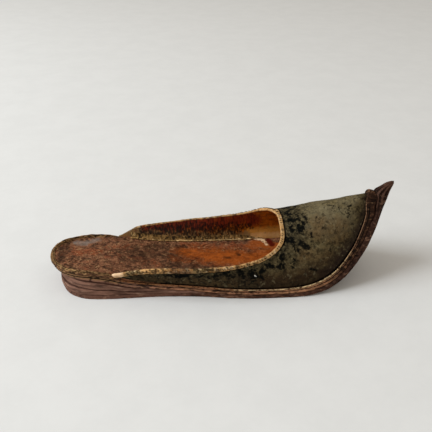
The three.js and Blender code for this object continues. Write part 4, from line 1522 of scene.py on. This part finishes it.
def vamp_fields(side, points, stations):
    """Nap that is left, rubbed and browned ground with a painted highlight on the crown, dusk round the
    throat, painted shade on the low wall and round the prow, and painted shadow lines along the foot and
    under the binding.
    """
    surface = wall_surface(0.0, side)
    run = run_along(points)
    s = np.append(stations, stations[-1])[:, None]
    prow = rise(s, PROW_SPAN)
    below = before_topline(points, topline(1.0, side))
    toe_loss, toe_span = LOW_TOE
    waist, waist_span = LOW_WAIST
    # Painted shade darkens the lower wall; it is weaker at the waist and round the toe.
    low = fall(run, LOW_SPAN) * (1 - toe_loss * rise(s, toe_span))
    return {
        "nap": marks(wobbled(points, 3.2, 2.2), surface, NAP_NEAR if side < 0 else NAP_FAR),
        # rubbed ground, partly a painted highlight on the crown
        "rubbed": marks(points, surface, NAP_RUBBED_AND_LIT),
        "brown": marks(points, surface, NAP_BROWN),
        "dusk": fall(below, DUSK_SPAN),
        "speckle": SPECKLE[0] - SPECKLE[1] * rise(below, SPECKLE_SPAN),
        "low": low * (waist + (1 - waist) * rise(s, waist_span)),
        # painted shade on the prow just above the rand
        "shade": prow * fall(run, PROW_SHADE),
        # a painted shadow line along the foot and under the binding's edge
        "grime": np.maximum(fall(run, (0, FOOT_SHADOW + PROW_SHADOW_WIDENING * prow)), fall(below, TOPLINE_SHADOW)),
        "chalk": marks(points, surface, CHALK if side < 0 else ()),
    }


def skin_half(side, stations):
    """One half of the vamp's skin with its fields."""
    points = vamp_half(side, stations, topline(SKIN_EDGE, side), 0.0, VAMP_CREASES)
    return points, vamp_fields(side, points, stations)


def nap_leather(colours):
    """Leather with a short dyed nap, rubbed to a dull olive ground; dark nap is left in ragged islands."""
    return worn_finish(
        "napped leather, rubbed", colours.nap, (0.4, 1.65), 3.0,
        # rubbed ground: worn, and partly a painted highlight on the crown
        layers=(cover("rubbed", "#776c52", 0.6, 5, 2.2, 0.4),
                cover("brown", "#5d4429", 0.55, 6, 2.4, 0.5),
                # painted shade on the lower wall
                cover("low", "#2c2015", 0.95, 5, 1.6, 0.5),
                cover("dusk", "#2b271d", 0.4, 4, 2.6, 0.4),
                # painted shade round the prow
                cover("shade", "#2b211d", 0.85, 5, 1.2, 0.5)),
        flecks=((3.2, 0.12, "#968b6b", 0.2), (3.4, 0.12, "#14110c", 0.55), (1.8, 0.11, "#100e0a", 0.4)),
        patches=(cover("speckle", colours.pile, 0.85, 2.8, 9, 0.4),
                 cover("nap", colours.pile, 0.96, 2.0, 4.0, 0.32),
                 # painted shadow: black lines along the foot and under the binding
                 cover("grime", "#060403", 0.95, 3, 0.8, 0.3),
                 cover("chalk", "#e0ddd2", 0.9, 1, 0.4)),
        grain=(1.6, 0.5), roughness=(0.7, 0.95), gloss=0.02)


def build_vamp(sizes, colours):
    """The napped skin of the vamp and its side walls."""
    piece = thickened(both_halves("vamp_skin", VAMP_ROWS, skin_half), sizes.skin)
    finished(piece, "upper_nap", nap_leather(colours), "upper")


# Marks on the lining: station and section share at both ends, radius and strength.
LINING_MARKS = {
    "red": (
        (62, 0.44, 152, 0.37, 13, 1.3),
        (146, 0.5, 172, 0.86, 10, 0.9),
    ),
    "streak": ((62, 0.46, 152, 0.38, 12, 0.5),),
    "fibre": (
        (66, 0.34, 112, 0.28, 9, 0.95),
        (112, 0.27, 140, 0.23, 9, 0.95),
        (140, 0.25, 152, 0.24, 5, 0.7),
    ),
    "tan": (
        (48, 0.38, 62, 0.42, 9, 1.0),
        (62, 0.24, 112, 0.15, 8, 1.2),
        (112, 0.15, 148, 0.11, 7, 1.2),
    ),
    "gold": ((153, 0.11, 178, 0.13, 9, 1.4),),
    "pale": ((150, 0.075, 178, 0.085, 5, 1.2),),
}
LINING_ROWS = np.append(VAMP_ROWS[VAMP_ROWS < LINING_TOE - 0.5], LINING_TOE)


def lining_half(side, stations):
    """One half of the lining with its fields."""
    points = vamp_half(side, stations, topline(LINING_EDGE, side), -WALL, ())
    surface = wall_surface(-WALL, side)
    return points, {field: marks(points, surface, table) for field, table in LINING_MARKS.items()}


def lining_leather(colours):
    """Thin dyed sheepskin, smooth and orange-brown, worn through to dark fibre along the sides."""
    return worn_finish(
        "dyed sheepskin lining, worn", colours.lining, (0.55, 1.4), 4.0, (1, 0.5, 1.6),
        layers=(cover("gold", "#cf9644", 0.75, 4, 1.6, 0.5),
                cover("pale", "#dcae76", 0.7, 4, 2.2, 0.5, LENGTHWISE),
                cover("red", "#6f210c", 0.97, 4, 2, 0.4, UPRIGHT)),
        flecks=((3.0, 0.09, "#3a1c10", 0.3),),
        patches=(cover("streak", "#1c0703", 0.75, 2.0, 5, 0.4, UPRIGHT),
                 cover("tan", "#7c5e3a", 0.9, 3.0, 4.4, 0.4, UPRIGHT),
                 cover("fibre", "#0d0503", 0.9, 2.0, 6.5, 0.4, (1.4, 1.0, 0.7))),
        grain=(1.6, 0.35), roughness=(0.4, 0.65), gloss=0.14)


def build_lining(sizes, colours):
    """The lining of the vamp and its side walls."""
    piece = thickened(both_halves("vamp_lining", LINING_ROWS, lining_half, inward=True), sizes.lining)
    finished(piece, "upper_nap", lining_leather(colours), "upper")


HEM_STATIONS = np.arange(57.0, 162.0, 1.0)
HEM_COLUMNS = 12
HEM_RISE = 3.2
HEM_WIDTH = 3.2
HEM_LEAST = 0.4
HEM_PROUD = 0.1                 # in front of the lining
HEM_LIFT = 0.45                 # of its edge above the insole
HEM_RAGGED = 0.9
HEM_LUMPS = 0.3
HEM_LOSS = 0.9                  # share of its width that it loses towards the toe
HEM_LOSS_SPAN = (144, 161)
# Shares of its width over which its golden seam and its dark fibre change.
HEM_SEAM = (0.55, 1.0)
HEM_DARK = (0.0, 0.7)
HEM_DARK_RUN = (0.15, 0.8)      # strength of the dark at the wall, and how much is lost


def hem_half(side, stations):
    """The foot of the lining, turned in over the edge of the insole; it runs out towards the toe."""
    top = insole_height(stations)
    held = 1 - HEM_LOSS * rise(stations, HEM_LOSS_SPAN)
    proud = -WALL - HEM_PROUD
    start = wall(stations, share_at_height(stations, top + HEM_RISE * held, -WALL), proud, side)
    corner = wall(stations, share_at_height(stations, top, -WALL), proud, side)
    width = HEM_WIDTH * held + HEM_RAGGED * unevenness(corner, 5.0, 2, 6.0)
    end = raised(stations, corner[:, 1] - side * np.maximum(width, HEM_LEAST), top + HEM_LIFT)
    u = np.linspace(0, 1, HEM_COLUMNS + 1)[None, :, None]
    rows = (1 - u) ** 2 * start[:, None] + 2 * u * (1 - u) * corner[:, None] + u * u * end[:, None]
    rows[..., 2] += HEM_LUMPS * unevenness(rows, 3.0, 2, 1.0)
    share = np.broadcast_to(u[..., 0], rows.shape[:2])
    return rows, {
        "seam": rise(share, HEM_SEAM),
        "fibre": HEM_DARK_RUN[0] - HEM_DARK_RUN[1] * rise(share, HEM_DARK),
    }


def build_hem(sizes):
    """The turned-in foot of the lining."""
    piece = thickened(both_halves("lining_hem", HEM_STATIONS, hem_half, inward=True), sizes.lining)
    # Foot of the lining, creased and frayed: dull brown with golden fibre at the seam.
    leather = worn_finish(
        "turned-in sheepskin hem, frayed", "#74562f", (0.4, 1.6), 2.8, (1.2, 1, 0.6),
        layers=(cover("seam", "#b98f5a", 0.7, 4, 4.4, 0.4, LENGTHWISE),),
        flecks=((2.8, 0.13, "#c9a672", 0.45), (2.6, 0.2, "#140b06", 0.8)),
        patches=(cover("fibre", "#120906", 0.85, 2.6, 8.0, 0.4, UPRIGHT),), grain=(1.4, 0.4), curl=1.0)
    finished(piece, "upper_nap", leather, "upper")


BINDING_COUNT = 360
BINDING_INNER = -WALL - 0.35
BINDING_OUTER = 0.4
BINDING_OUTSIDE = np.linspace(1, 0.3, 7)        # shares of the band, down to which the strip reaches
BINDING_INSIDE = np.linspace(0.3, 0.48, 4)      # further outside than inside
BINDING_TURNS = np.linspace(0, math.pi, 10)[1:-1]
BINDING_LUMPS = 0.14
FAR_SLIMMER = 0.28              # how much slimmer the strip is on the far side
# Distance from the middle plane, then places along the shoe, over which the tones of the strip change.
BINDING_SIDE = (5, 20)
THROAT_SPAN = (150, 165)
TIP_END = (52, 57)
GOLD_IN = (66, 71)
GOLD_OUT = (84, 92)
OLIVE_BACK = ((54, 58), (64, 70))
OLIVE_FRONT = ((100, 106), (112, 124))
OLIVE_FAR = 0.5
DULL_IN = (84, 90)
DULL_OUT = (98, 108)
SPECKS_START = (52, 58)
SPECKS = (0.3, 0.15, 1.2, 0.6)  # strength on the near and the far side, loss at the tabs and the throat
OUTER_RUN = (1.6, -0.6)         # strength of the outer tone at the outer and the inner edge
TAB_END = (56, 66)


def binding_outline():
    """Share of the band, outward place and rise of the points round the binding's section."""
    radius = (BINDING_OUTER - BINDING_INNER) / 2
    middle = (BINDING_OUTER + BINDING_INNER) / 2
    turned = middle + radius * np.cos(BINDING_TURNS)
    outside = 0 * BINDING_OUTSIDE
    inside = 0 * BINDING_INSIDE
    share = np.concatenate([BINDING_OUTSIDE, 0 * turned + BINDING_OUTSIDE[-1], BINDING_INSIDE])
    grow = np.concatenate([outside + BINDING_OUTER, turned, inside + BINDING_INNER])
    lift = np.concatenate([outside, radius * np.sin(BINDING_TURNS), inside])
    return share, grow, lift


def binding_side(side, share, grow, lift):
    """Rows of the binding on one side, from its tab to the front of the throat."""
    top_s, top_t, run = topline_path(0.0, BINDING_COUNT, side)
    low_s, low_t, _ = topline_path(1.0, BINDING_COUNT, side)
    s = top_s[:, None] + (low_s - top_s)[:, None] * share[None, :]
    t = top_t[:, None] + (low_t - top_t)[:, None] * share[None, :]
    up = unit(wall(top_s, top_t, -WALL / 2, side) - wall(low_s, low_t, -WALL / 2, side))
    return wall(s, t, grow[None, :], side) + up[:, None] * lift[None, :, None], run


def binding_rows(share, grow, lift):
    """Rows of the binding from the right tab over the throat to the left tab, and the run along them."""
    right, right_run = binding_side(RIGHT, share, grow, lift)
    left, left_run = binding_side(LEFT, share, grow, lift)
    run = np.concatenate([right_run, right_run[-1] + left_run[-1] - left_run[::-1][1:]])
    return np.concatenate([right, left[::-1][1:]]), run


def binding_fields(x, near, far, columns):
    """Tones along the strip: its near tip, gold, olive and dull stretches, specks and the far tab."""
    near_specks, far_specks, tab_loss, throat_loss = SPECKS
    return {
        "tip": near * fall(x, TIP_END),
        "gold": near * hump(x, GOLD_IN, GOLD_OUT),
        "olive": near * (hump(x, *OLIVE_BACK) + hump(x, *OLIVE_FRONT)) + OLIVE_FAR * far,
        "dull": near * hump(x, DULL_IN, DULL_OUT),
        "specks": near_specks * near + far_specks * far - tab_loss * fall(x, SPECKS_START)
        - throat_loss * (1 - near) * (1 - far),
        "outer": np.linspace(*OUTER_RUN, columns)[None, :],
        "tab": far * fall(x, TAB_END),
    }


def binding_leather(colours):
    """Strip of thin pale goatskin folded over the edge: peach-tan, rubbed, with dirt in its folds."""
    return worn_finish(
        "folded goatskin binding, rubbed", colours.binding, (0.6, 1.25), 2.6,
        layers=(cover("outer", "#96794f", 0.7, 2.6, 1.8, 0.4),
                cover("olive", "#7f6a45", 0.85, 3, 2, 0.4),
                cover("gold", "#cf9f66", 0.8, 3, 2, 0.4),
                cover("dull", "#7a563a", 0.85, 3, 2, 0.4),
                cover("tip", "#e6c29c", 0.85, 3, 1.2, 0.4),
                cover("tab", "#6e6044", 0.85, 3, 2.6, 0.3)),
        flecks=((3.0, 0.12, "#f0d2a8", 0.5), (3.2, 0.13, "#8a5a2c", 0.6)),
        patches=(cover("specks", "#1f1209", 0.85, 2.8, 9, 0.5),),
        grain=(1.2, 0.35), roughness=(0.5, 0.75))


def build_binding(colours):
    """The folded binding of the topline, from tab to tab."""
    rows, _ = binding_rows(*binding_outline())
    centre = rows.mean(axis=1, keepdims=True)
    x, y = centre[..., 0], centre[..., 1]
    sides = fall(x, THROAT_SPAN)
    near = rise(-y, BINDING_SIDE) * sides
    far = rise(y, BINDING_SIDE) * sides
    scale = (1 + BINDING_LUMPS * unevenness(rows, 3.0, 3, 9.0)) * (1 - FAR_SLIMMER * far)
    rows = closed_ring(rounded_ends(swollen(rows, centre, scale), 7))
    piece = loft("binding_strip", rows, **binding_fields(x, near, far, rows.shape[1]))
    finished(merged(piece), "binding_leather", binding_leather(colours), "topline_binding")


# Threads

STITCH_STEPS = 7
STITCH_COLUMNS = (1.0, 8.0)     # columns of the binding's section that a stitch crosses, on its outer half
STITCH_FIRST = (0, 2.5)         # how many columns later a stitch may start
STITCHED_FROM = 62.0            # run along the binding at which the stitches start to show
STITCH_PROUD = (0.12, 1.08)     # how far the thread stands off the strip's sides and its fold
STITCH_JITTER = 0.35            # shares of the pitch
STITCH_SLANT = 0.15
STITCHES_LOST = 0.12


def build_stitches(sizes):
    """The stitches over the binding."""
    rng = np.random.default_rng(11)
    pitch = sizes.stitch_pitch / MM
    share, grow, lift = binding_outline()
    off, over = STITCH_PROUD
    rows, run = binding_rows(share, grow + np.sign(grow + WALL / 2) * off, lift * over)
    places = np.arange(STITCHED_FROM, run[-1] - STITCHED_FROM, pitch)
    places = places + rng.uniform(-STITCH_JITTER, STITCH_JITTER, len(places)) * pitch
    places = places[rng.random(len(places)) > STITCHES_LOST]
    at = places[:, None] + np.linspace(-STITCH_SLANT, STITCH_SLANT, STITCH_STEPS)[None, :] * pitch
    first = STITCH_COLUMNS[0] + draws(rng, *STITCH_FIRST, len(places))
    column = first + (STITCH_COLUMNS[1] - first) * np.linspace(0, 1, STITCH_STEPS)[None, :]
    paths = between(rows, np.interp(at, run, np.arange(len(run))), column)
    # Waxed linen thread, sunk in the strip and dark with dirt.
    thread = worn_finish("waxed linen thread, dirty", "#3a2a1c", (0.5, 2.0), 2.5, grain=FIBRE_GRAIN)
    piece = threads("binding_stitches", paths, sizes.stitch_radius / MM)
    finished(piece, "binding_leather", thread, "topline_binding")


SEAM_START = 62.0
SEAM_END = 158.0
SEAM_SHARE = np.linspace(0, 1, 6)[None, :]
SEAM_PROUD = 0.3
SEAM_THREADS = 60               # tried on each side
SEAM_SPACING = (2.6, 8.2)
SEAM_LENGTH = (1.5, 6.0)
SEAM_COLUMN = (10.2, 11.8)      # columns of the hem on which the seam lies, and how far it wanders
SEAM_WANDER = (-0.8, 0.2)
SEAM_RADIUS = (0.3, 0.7)
SEAM_FINER = (0.4, (78, 104))   # share of the radius at the back, and the stations where it grows
HEM_FIBRES = 150                # on each side
HEM_FIBRE_LEAN = (-1.6, 1.6)
HEM_FIBRE_FOOT = 10
HEM_FIBRE_TOP = (0.5, 6)
HEM_FIBRE_RADIUS = (0.14, 0.24)
HEM_FIBRE_END = SEAM_END - 6
HEM_FOLDS = ((73, 76), (88, 107), (110, 126), (128, 141), (147, 154))   # stations of its raised folds
HEM_FOLD_COLUMN = 11.8
HEM_FOLD_ARCH = 1.6
HEM_FOLD_RADIUS = 0.5
HEM_TUFT = (146.6, 0.3)         # station of a pale end of thread that stands up from the seam, and its lean
HEM_TUFT_COLUMNS = (11, 4)
HEM_TUFT_RADIUS = 0.4


def seam_threads(rng):
    """Stations, columns and radii of the seam's short threads, finer towards the back."""
    starts = SEAM_START + np.cumsum(rng.uniform(*SEAM_SPACING, SEAM_THREADS))
    starts = starts[starts < SEAM_END]
    count = len(starts)
    along = starts[:, None] + draws(rng, *SEAM_LENGTH, count) * SEAM_SHARE
    across = draws(rng, *SEAM_COLUMN, count) + draws(rng, *SEAM_WANDER, count) * SEAM_SHARE
    finest, span = SEAM_FINER
    return along, across, rng.uniform(*SEAM_RADIUS, count) * (finest + (1 - finest) * rise(starts, span))


def hem_fibres(rng):
    """Stations, columns and radii of fine fibres that lie up the hem."""
    along = draws(rng, SEAM_START, HEM_FIBRE_END, HEM_FIBRES)
    along = along + draws(rng, *HEM_FIBRE_LEAN, HEM_FIBRES) * SEAM_SHARE
    across = HEM_FIBRE_FOOT + (draws(rng, *HEM_FIBRE_TOP, HEM_FIBRES) - HEM_FIBRE_FOOT) * SEAM_SHARE
    return along, across, rng.uniform(*HEM_FIBRE_RADIUS, HEM_FIBRES)


def hem_folds():
    """Stations, columns and radii of the hem's raised folds."""
    begin, end = np.array(HEM_FOLDS).T[..., None]
    along = begin + (end - begin) * SEAM_SHARE
    across = HEM_FOLD_COLUMN - HEM_FOLD_ARCH * np.sin(math.pi * SEAM_SHARE) + 0 * along
    return along, across, np.full(len(HEM_FOLDS), HEM_FOLD_RADIUS)


def hem_tuft():
    """Stations, columns and radius of the pale end of thread."""
    station, lean = HEM_TUFT
    foot, top = HEM_TUFT_COLUMNS
    return station + lean * SEAM_SHARE, foot + (top - foot) * SEAM_SHARE, np.array([HEM_TUFT_RADIUS])


def build_seam():
    """The seam of the hem with its fibres and folds."""
    rng = np.random.default_rng(7)
    paths = []
    radii = []
    for side in (RIGHT, LEFT):
        rows, _ = hem_half(side, HEM_STATIONS)
        rows[..., 2] += SEAM_PROUD
        for along, across, radius in (seam_threads(rng), hem_fibres(rng), hem_folds(), hem_tuft()):
            paths.append(between(rows, along - HEM_STATIONS[0], across))
            radii.append(radius)
    # Thick waxed linen thread and frayed fibre, golden with age and dark where they are dirty.
    thread = worn_finish(
        "waxed linen seam thread, aged", "#d2af7c", (0.45, 1.4), 3.4,
        flecks=((3.6, 0.12, "#2a1c0e", 0.7),), grain=FIBRE_GRAIN)
    piece = threads("lining_seam", np.concatenate(paths), np.concatenate(radii))
    finished(piece, "upper_nap", thread, "upper")


WELT_STITCH_STEPS = 6
WELT_STITCH_END = 258
WELT_STITCH_INSET = 0.2
WELT_STITCH_RADIUS = 0.3
WELT_STITCH_JITTER = 0.25       # shares of the pitch
WELT_STITCH_LENGTH = (0.35, 0.75)


def build_welt_stitches(sizes):
    """The stitches along the welt, the same on both sides."""
    rng = np.random.default_rng(5)
    pitch = sizes.welt_pitch / MM
    stations = stations_to(WELT_STITCH_END, spacing=0.5)
    height = sole["stack"](stations) - sole["welt"](stations) * (1 - welt_stitch_share(stations))
    right = sole_edge(stations, RIGHT, WELT_STITCH_INSET, height)
    run = run_along(right)
    starts = np.arange(pitch / 2, run[-1] - pitch, pitch)
    starts = starts + rng.uniform(-WELT_STITCH_JITTER, WELT_STITCH_JITTER, len(starts)) * pitch
    lengths = draws(rng, *WELT_STITCH_LENGTH, len(starts)) * pitch
    at = starts[:, None] + lengths * np.linspace(0, 1, WELT_STITCH_STEPS)[None, :]
    near = np.stack([np.interp(at, run, right[:, axis]) for axis in range(3)], -1)
    # Tarred thread, almost black.
    thread = worn_finish("tarred linen thread", "#1c1410", (0.6, 2.0), 2.0, grain=FIBRE_GRAIN)
    piece = threads("welt_stitches", np.concatenate([near, near * (1, -1, 1)]), WELT_STITCH_RADIUS)
    finished(piece, "welt_leather", thread, "welt")


# Stage

CAMERA_PLACE = (-0.0269, -0.3616, 0.2587)
CAMERA_TURN = (60.0, 0.0, -3.8)
CAMERA_LENS = 48.17
CAMERA_SENSOR = 36.0
CAMERA_NEAR = 0.01
SHOE_MIDDLE = (0.0, 0.0, 0.02)
KEY_PLACE = (-2.1, -0.28, 1.32)
KEY_SIZE = 1.35
KEY_POWER = 70.0
KEY_TINT = (0.875, 0.935, 0.99)
ROOM_COLOUR = "#f7f0e6"
ROOM_STRENGTH = 0.53


def set_camera(scene):
    """The camera at the photograph's angle."""
    bpy.ops.object.camera_add(location=CAMERA_PLACE, rotation=[math.radians(a) for a in CAMERA_TURN])
    camera = bpy.context.object
    camera.data.lens = CAMERA_LENS
    camera.data.sensor_width = CAMERA_SENSOR
    camera.data.clip_start = CAMERA_NEAR
    scene.camera = camera


def lay_floor(sizes, colours):
    """The pale floor."""
    bpy.ops.mesh.primitive_plane_add(size=sizes.floor)
    floor = bpy.context.object
    floor.name = "studio_floor"
    # Matt paper sweep: pale, even, with hardly any gloss.
    paper = worn_finish(
        "matt paper", colours.floor, (0.985, 1.015), 40.0, grain=(2.0, 0.001), roughness=(0.9, 0.95))
    floor.data.materials.append(paper)


def set_lights(scene):
    """A large key light from the heel's side in a soft, even room."""
    bpy.ops.object.light_add(type="AREA", location=KEY_PLACE)
    lamp = bpy.context.object
    lamp.name = "key"
    lamp.data.size = KEY_SIZE
    lamp.data.energy = KEY_POWER
    lamp.data.color = KEY_TINT
    aim = Vector(SHOE_MIDDLE) - Vector(KEY_PLACE)
    lamp.rotation_euler = aim.to_track_quat("-Z", "Y").to_euler()
    world = bpy.data.worlds.new("soft_room")
    world.use_nodes = True
    backdrop = world.node_tree.nodes["Background"]
    backdrop.inputs["Color"].default_value = (*linear(ROOM_COLOUR), 1)
    backdrop.inputs["Strength"].default_value = ROOM_STRENGTH
    scene.world = world


def build_stage(sizes, colours):
    """Camera, floor and lights."""
    scene = bpy.context.scene
    scene.view_settings.view_transform = "Standard"
    bpy.ops.object.select_all(action="DESELECT")
    set_camera(scene)
    lay_floor(sizes, colours)
    set_lights(scene)


# Operators and panel


class SLIPPER_OT_stage(bpy.types.Operator):
    """Sets up the floor, the lights and the camera"""

    bl_idname = "slipper.stage"
    bl_label = "Stage"

    def execute(self, context):
        build_stage(context.scene.slipper_sizes, context.scene.slipper_colours)
        return {"FINISHED"}


class SLIPPER_OT_outsole(bpy.types.Operator):
    """Models the outsole and its folded beak"""

    bl_idname = "slipper.outsole"
    bl_label = "Outsole"

    def execute(self, context):
        build_outsole(context.scene.slipper_sizes, context.scene.slipper_colours)
        return {"FINISHED"}


class SLIPPER_OT_heel(bpy.types.Operator):
    """Models the two lifts of the heel with their creases"""

    bl_idname = "slipper.heel"
    bl_label = "Heel lifts"

    def execute(self, context):
        build_heel(context.scene.slipper_colours)
        return {"FINISHED"}


class SLIPPER_OT_welt(bpy.types.Operator):
    """Models the welt and its groove"""

    bl_idname = "slipper.welt"
    bl_label = "Welt"

    def execute(self, context):
        build_welt(context.scene.slipper_colours)
        return {"FINISHED"}


class SLIPPER_OT_insole(bpy.types.Operator):
    """Models the worn insole"""

    bl_idname = "slipper.insole"
    bl_label = "Insole"

    def execute(self, context):
        build_insole(context.scene.slipper_colours)
        return {"FINISHED"}


class SLIPPER_OT_rim(bpy.types.Operator):
    """Models the rolled rim of the seat and its loose fibres"""

    bl_idname = "slipper.rim"
    bl_label = "Seat rim"

    def execute(self, context):
        build_rim(context.scene.slipper_colours)
        build_rim_fibres()
        return {"FINISHED"}


class SLIPPER_OT_rand(bpy.types.Operator):
    """Models the piping round the vamp"""

    bl_idname = "slipper.rand"
    bl_label = "Rand"

    def execute(self, context):
        build_rand(context.scene.slipper_colours)
        return {"FINISHED"}


class SLIPPER_OT_vamp(bpy.types.Operator):
    """Models the napped skin of the vamp"""

    bl_idname = "slipper.vamp"
    bl_label = "Vamp"

    def execute(self, context):
        build_vamp(context.scene.slipper_sizes, context.scene.slipper_colours)
        return {"FINISHED"}


class SLIPPER_OT_lining(bpy.types.Operator):
    """Models the lining of the vamp"""

    bl_idname = "slipper.lining"
    bl_label = "Lining"

    def execute(self, context):
        build_lining(context.scene.slipper_sizes, context.scene.slipper_colours)
        return {"FINISHED"}


class SLIPPER_OT_hem(bpy.types.Operator):
    """Models the foot of the lining, turned in over the insole"""

    bl_idname = "slipper.hem"
    bl_label = "Lining hem"

    def execute(self, context):
        build_hem(context.scene.slipper_sizes)
        return {"FINISHED"}


class SLIPPER_OT_binding(bpy.types.Operator):
    """Models the folded binding of the topline"""

    bl_idname = "slipper.binding"
    bl_label = "Binding"

    def execute(self, context):
        build_binding(context.scene.slipper_colours)
        return {"FINISHED"}


class SLIPPER_OT_stitches(bpy.types.Operator):
    """Sews the binding, the lining and the welt"""

    bl_idname = "slipper.stitches"
    bl_label = "Stitches"

    def execute(self, context):
        build_stitches(context.scene.slipper_sizes)
        build_seam()
        build_welt_stitches(context.scene.slipper_sizes)
        return {"FINISHED"}


OPERATORS = (
    SLIPPER_OT_stage, SLIPPER_OT_outsole, SLIPPER_OT_heel, SLIPPER_OT_welt, SLIPPER_OT_insole, SLIPPER_OT_rim,
    SLIPPER_OT_rand, SLIPPER_OT_vamp, SLIPPER_OT_lining, SLIPPER_OT_hem, SLIPPER_OT_binding,
    SLIPPER_OT_stitches)


class SLIPPER_PT_pieces(bpy.types.Panel):
    """Lists the slipper's sizes, colours and pieces"""

    bl_idname = "SLIPPER_PT_pieces"
    bl_label = "Pointed slipper"
    bl_space_type = "VIEW_3D"
    bl_region_type = "UI"
    bl_category = "Slipper"

    def draw(self, context):
        for group in (context.scene.slipper_sizes, context.scene.slipper_colours):
            box = self.layout.box()
            for name in group.__annotations__:
                box.prop(group, name)
        for operator in OPERATORS:
            self.layout.operator(operator.bl_idname)


CLASSES = (SlipperSizes, SlipperColours, *OPERATORS, SLIPPER_PT_pieces)


def register():
    for made in CLASSES:
        bpy.utils.register_class(made)
    bpy.types.Scene.slipper_sizes = bpy.props.PointerProperty(type=SlipperSizes)
    bpy.types.Scene.slipper_colours = bpy.props.PointerProperty(type=SlipperColours)


def unregister():
    del bpy.types.Scene.slipper_colours
    del bpy.types.Scene.slipper_sizes
    for made in reversed(CLASSES):
        bpy.utils.unregister_class(made)


def main():
    register()
    bpy.ops.slipper.stage()
    bpy.ops.slipper.outsole()
    bpy.ops.slipper.heel()
    bpy.ops.slipper.welt()
    bpy.ops.slipper.insole()
    bpy.ops.slipper.rim()
    bpy.ops.slipper.rand()
    bpy.ops.slipper.vamp()
    bpy.ops.slipper.lining()
    bpy.ops.slipper.hem()
    bpy.ops.slipper.binding()
    bpy.ops.slipper.stitches()


if __name__ == "__main__":
    main()
